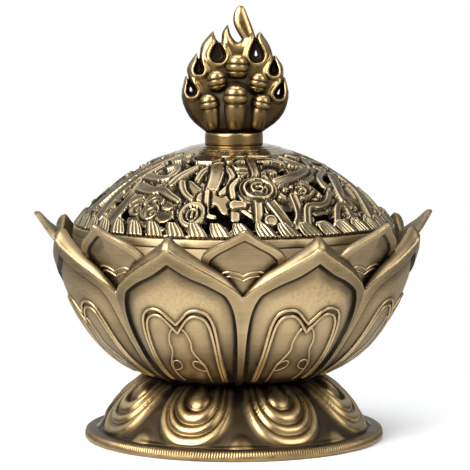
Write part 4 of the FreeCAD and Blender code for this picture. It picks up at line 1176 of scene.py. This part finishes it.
def right_figures(lace):
    """Bands, eye, small beast, arch, lumps and ribbons on the right of the front."""
    lace.stroke(((17, 20.5), (25, 20.5), (32, 22), (39, 25.5)), 1.2, 0.05, 0.8)
    lace.stroke(((56, 18.5), (60, 21.5), (67, 23.5), (79, 26)), 1.1, 0.1, 0.8)
    lace.stroke(((88, 41), (82, 44.5), (77, 50)), 1.4, 0.1, 1.1, groove=0.5)
    lace.stroke(((76, 34), (72.5, 40), (66, 45), (62, 50)), 1.5, 0.15, 1.1, groove=0.5)
    for azimuth, tilt, start in ((52, 46.5, 30), (56, 49.5, 140), (49.5, 50, 250)):
        lace.scroll(azimuth, tilt, 1.7, start, -1, 0.6, 0.2, turns=1.0)
    lace.stroke(((63, 33), (57, 36.7), (52.5, 40.5), (52, 44.5)), 1.6, 0.2, 1.1, groove=0.5)
    lace.stroke(((60, 24.3), (53, 28.4), (43, 31.6), (36, 33.4), (35, 36)), 1.4, 0.2, 1.1)
    lace.stroke(((18.5, 33.5), (26, 32), (34.5, 30.5), (45, 28.3), (47.5, 26), (39.5, 24.8)), 1.5, 0.3, 0.9)
    lace.stroke(((59, 27.4), (61.5, 29.5), (50.5, 31.9), (46.5, 34.7), (46.5, 37.6), (45, 39.4)), 0.85, 0.35)
    lace.stroke(((31, 37.3), (36, 39.5)), 2.1, -0.1, 1.4)
    lace.stroke(((26, 35.6), (33, 34.6), (37, 36.8), (38.6, 40)), 0.6, 0.3)
    lace.stroke(((24, 38.4), (26.3, 40), (32, 39.8), (36.7, 38)), 0.55, 0.3)
    lace.scroll(30.5, 37.3, 1.5, 120, -1, 0.5, 0.2, turns=1.0)
    lace.stroke(((20.5, 50), (23, 47), (24, 43), (24.4, 39.3)), 1.05, 0.2)
    lace.stroke(((31, 45.2), (36, 45.0)), 1.3, -0.15)
    lace.stroke(((25, 50), (27.5, 45), (30, 43.4), (36.2, 43.4), (41, 41.8), (45.3, 39)), 1.0, 0.35, 0.75)
    lace.stroke(((38, 50.4), (42, 46), (45.5, 44), (49, 44.6), (48, 48.5)), 0.85, 0.3)


def lid_lace():
    """Openwork of the dome, the same in front and at the back."""
    lace = Lace()
    cloud_ground(lace)
    for azimuth, tilt, radius in LACE_OPENINGS:
        lace.clear(azimuth, tilt, radius)
    left_figures(lace)
    right_figures(lace)
    middle_figures(lace)
    for azimuth in (-90, 90):
        lace.engrave(((azimuth, LACE_TOP), (azimuth, 35.0), (azimuth, LACE_FOOT)), width=0.4)
    solid = lace.joined()
    height, stain_and_shade, wear_and_sheen = (values.reshape(solid.shape) for values in (lace.height, lace.stain_and_shade, lace.wear_and_sheen))
    for side, turn in (("front", 0.0), ("back", 180.0)):
        azimuth = lace.azimuth + turn
        top = on_dome(azimuth, lace.tilt, LACE_RADIUS + height)
        sheet = pierced(solid, top, on_dome(azimuth, lace.tilt, LACE_UNDER), stain_and_shade, wear_and_sheen)
        build(f"lid_openwork_{side}", sheet, "lid_dome", "lid", "lid_bronze")


def lid_waves(whole):
    """Ring of small leaning waves, each with four ribs, above the lid's band."""
    across, up = np.meshgrid(np.linspace(-1, 1, 17), np.linspace(0, 1, 10))
    half = WAVE_WIDTH / 2 * np.sqrt(1 - up ** 2.4 + 1e-9)
    right = across * half - WAVE_LEAN * up + 0.9
    rib = np.abs(np.cos(2 * math.pi * across))
    slit = smoothstep(0.72, 0.3, rib) * smoothstep(0.95, 0.8, up)
    edge = smoothstep(1.01, 0.95, np.abs(across)) * smoothstep(1.01, 0.96, up)
    crest = LACE_RADIUS + 0.45 + 0.75 * (1 - 0.65 * slit) * edge
    # Patina in the slits; painted shade on the waves' edges, and on their sides and undersides, between and
    # under them
    stain_and_shade = 0.95 * slit + 0.8 * (1 - edge)
    wear_and_sheen = 0.75 * (1 - slit) * edge
    azimuth, tilt = beside(0.0, LACE_FOOT, right, 0.2 + WAVE_HEIGHT * up)
    for k in range(WAVE_COUNT):
        turn = azimuth + k * 360.0 / WAVE_COUNT
        whole.add_sheet(on_dome(turn, tilt, crest), stain_and_shade, wear_and_sheen)
        whole.add_sheet(on_dome(turn, tilt, WAVE_UNDER), 1.0, flip=True)
        foot, top = (on_dome(border(turn), border(tilt), radius) for radius in (WAVE_UNDER, border(crest)))
        whole.add_sheet(np.stack([foot, top]), 0.8, closed=True)


def lid_crown(whole):
    """Plain crown with two turned grooves, from the screw hole out over its lip and back underneath."""
    edge, low = CROWN_EDGE_RADIUS, CROWN_TOP_Z - CROWN_DEPTH
    slope = np.linspace(CROWN_FLAT_RADIUS + 0.6, edge - 0.2, 30)
    lift = 0.35 - 0.45 * smoothstep(11.5, edge, slope)
    lift -= 0.16 * sum(bump(radius, 0.3, slope) for radius in CROWN_GROOVES)
    top = np.minimum(DOME_CENTRE_Z + np.sqrt(DOME_RADIUS ** 2 - slope ** 2) + lift, CROWN_TOP_Z)
    lip = top[-1]
    profile = np.vstack([
        [(FINIAL_HOLE, low), (FINIAL_HOLE, CROWN_TOP_Z), (CROWN_FLAT_RADIUS, CROWN_TOP_Z)],
        np.stack([slope, top], axis=1),
        [(edge, lip - 0.3), (edge - 0.1, lip - 0.75), (edge - 0.9, lip - 1.0), (edge - 3.0, lip - 1.0)],
        [(9.5, low)],
    ])
    polish = np.full(len(profile), 0.85)
    polish[-7:-4] = (0.4, 0.6, 0.3)
    whole.add_ring(np.column_stack([profile, np.full(len(profile), 0.05), polish]), columns=160, flip=True)


def lid_rings():
    """Plain crown and the ring of waves."""
    whole = Surface()
    lid_crown(whole)
    lid_waves(whole)
    build("lid_rings", whole, "lid_dome", "lid", "lid_bronze")


def lid_band():
    """Plain band under the waves, with the spigot that drops into the bowl."""
    face = COLLAR_RADIUS - 0.05
    section = (
        (DOME_FOOT_RADIUS - 1.4, BAND_TOP_Z + 0.3, 0.6, 0.0),
        (DOME_FOOT_RADIUS - 0.2, BAND_TOP_Z, 0.3, 0.1),
        (face - 0.4, BAND_TOP_Z - 0.05, 0.3, 0.1),
        (face - 0.2, BAND_TOP_Z - 0.2, 0.2, 0.2),
        (face - 0.14, BAND_TOP_Z - 0.45, 0.2, 0.2),
        (face, SEAT_Z + 0.35, 0.2, 0.2),
        (face, SEAT_Z + 0.12, 0.2, 0.2),
        (face - 0.1, SEAT_Z, 0.3, 0.1),
        (SPIGOT_RADIUS, SEAT_Z, 0.3, 0.0),
        (SPIGOT_RADIUS, SPIGOT_LOW_Z + 0.2, 0.2, 0.0),
        (SPIGOT_RADIUS - 0.2, SPIGOT_LOW_Z, 0.2, 0.2),
        (SPIGOT_BORE, SPIGOT_LOW_Z, 0.3, 0.0),
        (SPIGOT_BORE, BAND_TOP_Z, 0.5, 0.0),
    )
    whole = Surface()
    whole.add_ring(section, columns=240, flip=True)
    build("lid_band", whole, "lid_dome", "lid", "bowl_bronze")


def collar_ring():
    """Plain collar under the flaming jewel, with a rubbed upper edge."""
    radius = levels("finial_collar")[1][0]
    low, high = CROWN_TOP_Z, COLLAR_TOP_Z
    section = (
        (FINIAL_HOLE, low, 0.6, 0.0),
        (radius - 0.2, low, 0.9, 0.0),
        (radius, low + 0.2, 0.5, 0.1),
        (radius, low + 0.7, 0.15, 0.1),
        (radius, high - 0.9, 0.15, 0.1),
        (radius, high - 0.4, 0.05, 0.4),
        (radius - 0.12, high - 0.12, 0.0, 0.8),
        (radius - 0.4, high, 0.2, 0.5),
        (FINIAL_HOLE, high, 0.9, 0.0),
    )
    whole = Surface()
    whole.add_ring(section, columns=120)
    build("collar_ring", whole, "finial_collar", "lid", "finial_bronze")


# Flaming jewel

FLAME_OUTLINE = (
    ((-7.2, 0.0), (-8.1, 0.7), (-10.4, 2.6), (-12.2, 5.2), (-13.4, 9.4), (-12.3, 14.6)),
    ((-12.3, 14.6), (-11.9, 13.6), (-11.5, 13.4)),
    ((-11.5, 13.4), (-11.9, 16.4), (-9.5, 20.2)),
    ((-9.5, 20.2), (-9.2, 18.8), (-8.8, 18.6)),
    ((-8.8, 18.6), (-8.2, 22.2), (-5.3, 25.7)),
    ((-5.3, 25.7), (-4.6, 23.6), (-3.2, 22.6), (-3.0, 25.2), (-1.6, 27.4)),
    ((-1.6, 27.4), (-0.9, 24.8), (0.2, 23.2), (1.2, 22.7), (2.0, 23.6)),
    ((2.0, 23.6), (1.0, 25.2), (-0.1, 27.6), (0.0, 30.2), (1.3, 32.2)),
    ((1.3, 32.2), (2.4, 31.9), (3.6, 29.2), (4.7, 26.4), (5.6, 23.6)),
    ((5.6, 23.6), (5.9, 24.8), (6.7, 25.5)),
    ((6.7, 25.5), (9.0, 22.0), (10.0, 18.8)),
    ((10.0, 18.8), (10.3, 19.4), (10.7, 19.3)),
    ((10.7, 19.3), (12.4, 16.6), (12.5, 13.2)),
    ((12.5, 13.2), (12.7, 14.0), (13.0, 13.8)),
    ((13.0, 13.8), (13.9, 9.6), (12.9, 5.4), (10.8, 2.6), (8.2, 0.7), (7.2, 0.0)),
    ((7.2, 0.0), (-7.2, 0.0)),
)
# Hollows between the tongues: foot, point, half-width at the foot, and how much of it is open right through
FLAME_HOLLOWS = (
    ((-11.0, 10.6), (-11.6, 13.9), 1.5, 0.24),
    ((-9.1, 16.0), (-9.0, 19.4), 1.4, 0.0),
    ((-4.2, 19.6), (-4.2, 23.6), 2.1, 0.0),
    ((5.6, 19.6), (5.4, 24.2), 2.05, 0.2),
    ((10.0, 15.6), (10.2, 19.2), 1.35, 0.0),
    ((11.3, 9.8), (12.5, 13.4), 1.4, 0.26),
)
# Buds of the jewel: foot, top, radius and distance in front of the middle
FLAME_BUDS = (
    ((0.0, 0.6), (0.0, 12.3), 3.1, 7.3),
    ((-5.3, 0.8), (-7.0, 10.0), 2.5, 5.6),
    ((5.3, 0.8), (7.2, 9.8), 2.4, 5.6),
    ((-4.0, 10.6), (-5.1, 15.8), 2.55, 5.4),
    ((5.4, 10.0), (6.4, 15.2), 2.45, 5.4),
    ((0.5, 13.6), (0.7, 19.9), 2.9, 4.9),
)
CORE_PROFILE = ((7.0, 0.3), (11.6, 3.0), (9.6, 13.0), (0.0, 17.0))
CORE_FOOT_RADIUS = 6.9
FLAME_GRID_X = np.linspace(-15, 15, 116)
FLAME_GRID_Z = np.linspace(-0.6, 33, 130)
# Heights on the flame, and its half-thickness there
FLAME_THICKNESS = ((0, 8, 14, 20, 25, 30, 33), (3.9, 4.4, 4.1, 3.0, 2.3, 1.6, 1.0))


def inside_loop(places, loop):
    """Whether each place lies inside a closed line."""
    x, z = places[:, 0], places[:, 1]
    odd = np.zeros(len(places), bool)
    for (ax, az), (bx, bz) in zip(loop, np.roll(loop, -1, axis=0)):
        if az != bz:
            odd ^= ((az > z) != (bz > z)) & (x < (bx - ax) * (z - az) / (bz - az) + ax)
    return odd


def flame_sheet():
    """Tongues of flame: a thick pierced plate with round edges and drop-shaped hollows."""
    x, z = np.meshgrid(FLAME_GRID_X, FLAME_GRID_Z)
    places = np.stack([x, z], axis=-1).reshape(-1, 2)
    loop = np.vstack([smooth_line(points, 10)[:-1] for points in FLAME_OUTLINE])
    edge, _ = distance_to_line(places, np.vstack([loop, loop[:1]]))
    edge = np.where(inside_loop(places, loop), edge, -edge).reshape(x.shape)
    solid, hollow = edge, np.full(x.shape, np.inf)
    for foot, point, width, opened in FLAME_HOLLOWS:
        gap, along = (part.reshape(x.shape) for part in distance_to_line(places, np.array([foot, point])))
        drop = gap - width * (1 - 0.93 * along ** 1.3)
        hollow = np.minimum(hollow, drop)
        if opened:
            solid = np.minimum(solid, drop + width * (1 - opened))
    crest = np.sqrt(1 - (1 - np.clip(edge / 2.0, 0, 1)) ** 2)
    lip = bump(0.35, 0.35, hollow)
    pit = smoothstep(0.1, -0.8, hollow)
    half = np.interp(z, *FLAME_THICKNESS) * (0.25 + 0.75 * crest) * (1 - 0.72 * pit)
    half += 0.25 * lip - 0.35 * crest * smoothstep(0.6, 1.6, hollow)
    half = np.maximum(half, 0.35)
    # Patina in the hollows, and painted shade on the lower flame behind the buds
    stain_and_shade = np.clip(pit + 0.75 * smoothstep(13, 5, z), 0, 1)
    ridge = bump(0.8, 0.5, edge) * smoothstep(6, 14, z)
    wear_and_sheen = np.clip((0.4 * lip + 0.6 * ridge) * (1 - pit), 0, 1)
    front, back = (np.stack([x, way * half, COLLAR_TOP_Z + z], axis=-1) for way in (-1, 1))
    return pierced(solid, front, back, stain_and_shade, wear_and_sheen, alike=True)


STEM_LEAN = 0.3
CORE_DEPTH = 0.66
# Parts of a bud from its top down: radius and depth as shares of the bud's radius, stain and wear
BUD_SECTION = ((0.0, 0.0, 0.0, 0.5), (0.34, 0.05, 0.0, 0.6), (0.64, 0.2, 0.0, 0.6), (0.86, 0.44, 0.0, 0.45),
               (0.95, 0.68, 0.1, 0.4), (0.96, 0.80, 0.6, 0.1), (0.88, 0.86, 1.0, 0.0), (0.97, 0.92, 0.6, 0.3),
               (1.02, 1.08, 0.0, 0.55), (1.0, 1.34, 0.1, 0.3), (0.94, 1.48, 0.7, 0.1), (0.86, 1.54, 1.0, 0.0))
# The rest of it down to its foot: radius as a share of the bud's, share of the rest, stain with painted shade
# darkest at the stem's foot, and wear
BUD_STEM = ((0.95, 0.06, 0.5, 0.05), (0.92, 0.3, 0.2, 0.15), (0.85, 0.6, 0.3, 0.12), (0.72, 0.92, 0.7, 0.0),
            (0.5, 1.0, 0.9, 0.0), (0.0, 1.0, 0.9, 0.0))
BUD_COLUMNS = 36


def jewel_bud(whole, foot, top, radius, forward):
    """Round bud with a groove and a band on a tapering stem, in front and at the back."""
    foot, top = (np.array([x, 0, COLLAR_TOP_Z + z]) for x, z in (foot, top))
    length = np.linalg.norm(top - foot)
    axis = (foot - top) / length
    side = np.array([-axis[2], 0, axis[0]])
    head, stem = np.array(BUD_SECTION), np.array(BUD_STEM)
    head[:, :2] *= radius
    stem[:, 0] *= radius
    stem[:, 1] = head[-1, 1] + (length - head[-1, 1]) * stem[:, 1]
    width, depth, stain_and_shade, wear_and_sheen = np.hsplit(np.vstack([head, stem])[::-1], 4)
    turn = np.arange(BUD_COLUMNS)[:, None] * 2 * math.pi / BUD_COLUMNS
    round_way = side * np.cos(turn) + np.array([0, 1, 0]) * np.sin(turn)
    grid = top + depth[:, None] * axis + width[:, None] * round_way
    lean = forward * (1 - STEM_LEAN * depth / length)
    for way in (-1, 1):
        placed = grid * (-way, 1, 1)
        placed[..., 1] += way * lean
        whole.add_sheet(placed, stain_and_shade, wear_and_sheen, closed=True, flip=way < 0)


def flame_finial():
    """Flaming jewel: the flames, the core between them and its buds."""
    whole = flame_sheet()
    core = np.vstack([[(0.0, 0.0), (CORE_FOOT_RADIUS, 0.0)], bezier(CORE_PROFILE, np.linspace(0, 1, 18))])
    grid = revolved_grid(core + (0, COLLAR_TOP_Z), columns=72) * (1, CORE_DEPTH, 1)
    # Painted shade: the core between the buds is fully dark
    whole.add_sheet(grid, 1.0, closed=True)
    for bud in FLAME_BUDS:
        jewel_bud(whole, *bud)
    build("flaming_jewel", whole, "flame_finial", "lid", "finial_bronze")


# Mat

MAT_EDGE = 0.25
MAT_RIPPLE = 0.06


def felt_mat():
    """Glass-fibre disc with a soft edge and a slightly uneven face."""
    share = np.linspace(0, 1, 16)
    top = np.stack([MAT_RADIUS * share, np.full(len(share), MAT_TOP_Z)], axis=1)
    edge = np.stack([MAT_RADIUS - MAT_EDGE + MAT_EDGE * np.sin(math.pi * share),
                     MAT_TOP_Z - (MAT_TOP_Z - MAT_LOW_Z) * share], axis=1)
    under = np.stack([MAT_RADIUS * share[::-1], np.full(len(share), MAT_LOW_Z)], axis=1)
    grid = revolved_grid(np.vstack([top[:-1], edge, under[1:]]), columns=96)
    ripple = np.sin(grid[..., 0] * 0.9) * np.cos(grid[..., 1] * 1.1)
    grid[..., 2] -= MAT_RIPPLE * (1 + ripple) * (grid[..., 2] > MAT_TOP_Z - 0.01)
    whole = Surface()
    whole.add_sheet(grid, closed=True, flip=True)
    build("felt_mat", whole, "heat_mat", "burner", "glass_fibre")


# Camera, light and floor, in metres

SENSOR_WIDTH = 36.0
LENS = 199.07
PHOTO_PIXELS = 470
CAMERA_PLACE = (-0.0340, -0.6621, 0.119)
CAMERA_TURN = (84.22, 0.0, -2.94)
LIGHT_TARGET = (0.0, 0.0, 0.05)
# Soft lights: name, place, width and height, watts
LIGHTS = (
    ("key_left", (-0.46, -0.48, 0.40), (0.5, 0.6), 12.0),
    ("fill_right", (0.5, -0.42, 0.35), (0.4, 0.5), 2.6),
    ("top", (0.0, 0.05, 0.75), (0.6, 0.6), 4.0),
)
ROOM_LIGHT = 0.45
COOL_WHITE = (0.92, 0.96, 1.0)
FLOOR_REACH = 3.0
# How bright the floor is in reflections, in front of the burner and beside or behind it
FLOOR_GLOW = (1.0, 0.42)
# Distances from the axis between which the shaded floor turns into plain white
FLOOR_FADE = (0.042, 0.10)


def camera():
    data = bpy.data.cameras.new("camera")
    data.sensor_width = SENSOR_WIDTH
    data.lens = LENS
    data.shift_x = 1.0 / PHOTO_PIXELS
    eye = place_in_scene("camera", data)
    eye.location = CAMERA_PLACE
    eye.rotation_euler = [math.radians(angle) for angle in CAMERA_TURN]
    bpy.context.scene.camera = eye


def area_light(name, place, size, watts):
    data = bpy.data.lights.new(name, "AREA")
    data.shape = "RECTANGLE"
    data.size, data.size_y = size
    data.energy = watts
    lamp = place_in_scene(name, data)
    lamp.location = place
    lamp.rotation_euler = (Vector(LIGHT_TARGET) - Vector(place)).to_track_quat("-Z", "Y").to_euler()


def studio():
    """Soft lights, and a white room that reflections show dimmer low in front and right overhead."""
    for light in LIGHTS:
        area_light(*light)
    n = Nodes("studio", bpy.data.worlds, "Background")
    x, y, z = n.split(n.coordinates("Generated"))
    behind = n.spread(y, 0.7, 1.0, 0.25, 0.95)
    above = n.spread(z, 0.15, 0.55, 0.25, 0.95)
    overhead = n.spread(z, 0.55, 1.0, 1.0, 0.4)
    side = n.spread(x, -0.5, 0.6, 1.2, 0.7)
    seen, glossy = n.light_path()
    mirrored = n.math("MULTIPLY", n.math("MULTIPLY", n.math("MAXIMUM", behind, above), overhead), side)
    mirrored = n.math("MULTIPLY", glossy, n.math("SUBTRACT", mirrored, ROOM_LIGHT))
    strength = n.math("MAXIMUM", seen, n.math("ADD", mirrored, ROOM_LIGHT))
    bpy.context.scene.world = n.shaded({"Strength": strength, "Color": n.mix(seen, COOL_WHITE, (1, 1, 1))})


def floor_white():
    """Pale floor that holds the object's shadow near it and is plain white further away."""
    n = Nodes("floor_white")
    tone = n.mix(n.noise(3.0), (0.86, 0.86, 0.86), (0.9, 0.9, 0.9))
    place = n.coordinates()
    distance = n.add("ShaderNodeVectorMath", {0: place}, operation="LENGTH")["Value"]
    seen, glossy = n.light_path()
    ahead = n.math("DIVIDE", n.split(place)[1], distance)
    # Painted reflection: the floor glows for glossy rays though it is no lamp, brighter in front than beside
    # or behind
    glow = n.math("MULTIPLY", glossy, n.spread(ahead, -0.6, 0.0, *FLOOR_GLOW))
    white = n.add("ShaderNodeEmission", {"Strength": n.math("MAXIMUM", seen, glow)})["Emission"]
    share = n.math("MULTIPLY", n.math("MAXIMUM", seen, glossy), n.spread(distance, *FLOOR_FADE))
    blend = n.add("ShaderNodeMixShader", {"Fac": share, 1: n.shader.outputs["BSDF"], 2: white})["Shader"]
    n.fill(n.tree.nodes["Material Output"], {"Surface": blend})
    return n.shaded({"Base Color": tone, "Roughness": 0.6, "Specular IOR Level": 0.2})


def floor():
    mesh = bpy.data.meshes.new("floor")
    corners = [(x * FLOOR_REACH, y * FLOOR_REACH, 0) for x, y in ((-1, -1), (1, -1), (1, 1), (-1, 1))]
    mesh.from_pydata(corners, [], [(0, 1, 2, 3)])
    mesh.materials.append(floor_white())
    place_in_scene("floor", mesh)


camera()
studio()
floor()
outer_petals()
inner_bowl()
lotus_foot()
lid_lace()
lid_rings()
lid_band()
collar_ring()
flame_finial()
felt_mat()
for node in ("foot_screw", "foot_spring_washer", "foot_washer", "incense_holder",
             "finial_screw", "finial_spring_washer", "finial_washer"):
    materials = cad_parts[node].data.materials
    materials.clear()
    materials.append(finishes["holder_brass" if node == "incense_holder" else "zinc_steel"])
bpy.context.scene.view_settings.view_transform = "Standard"
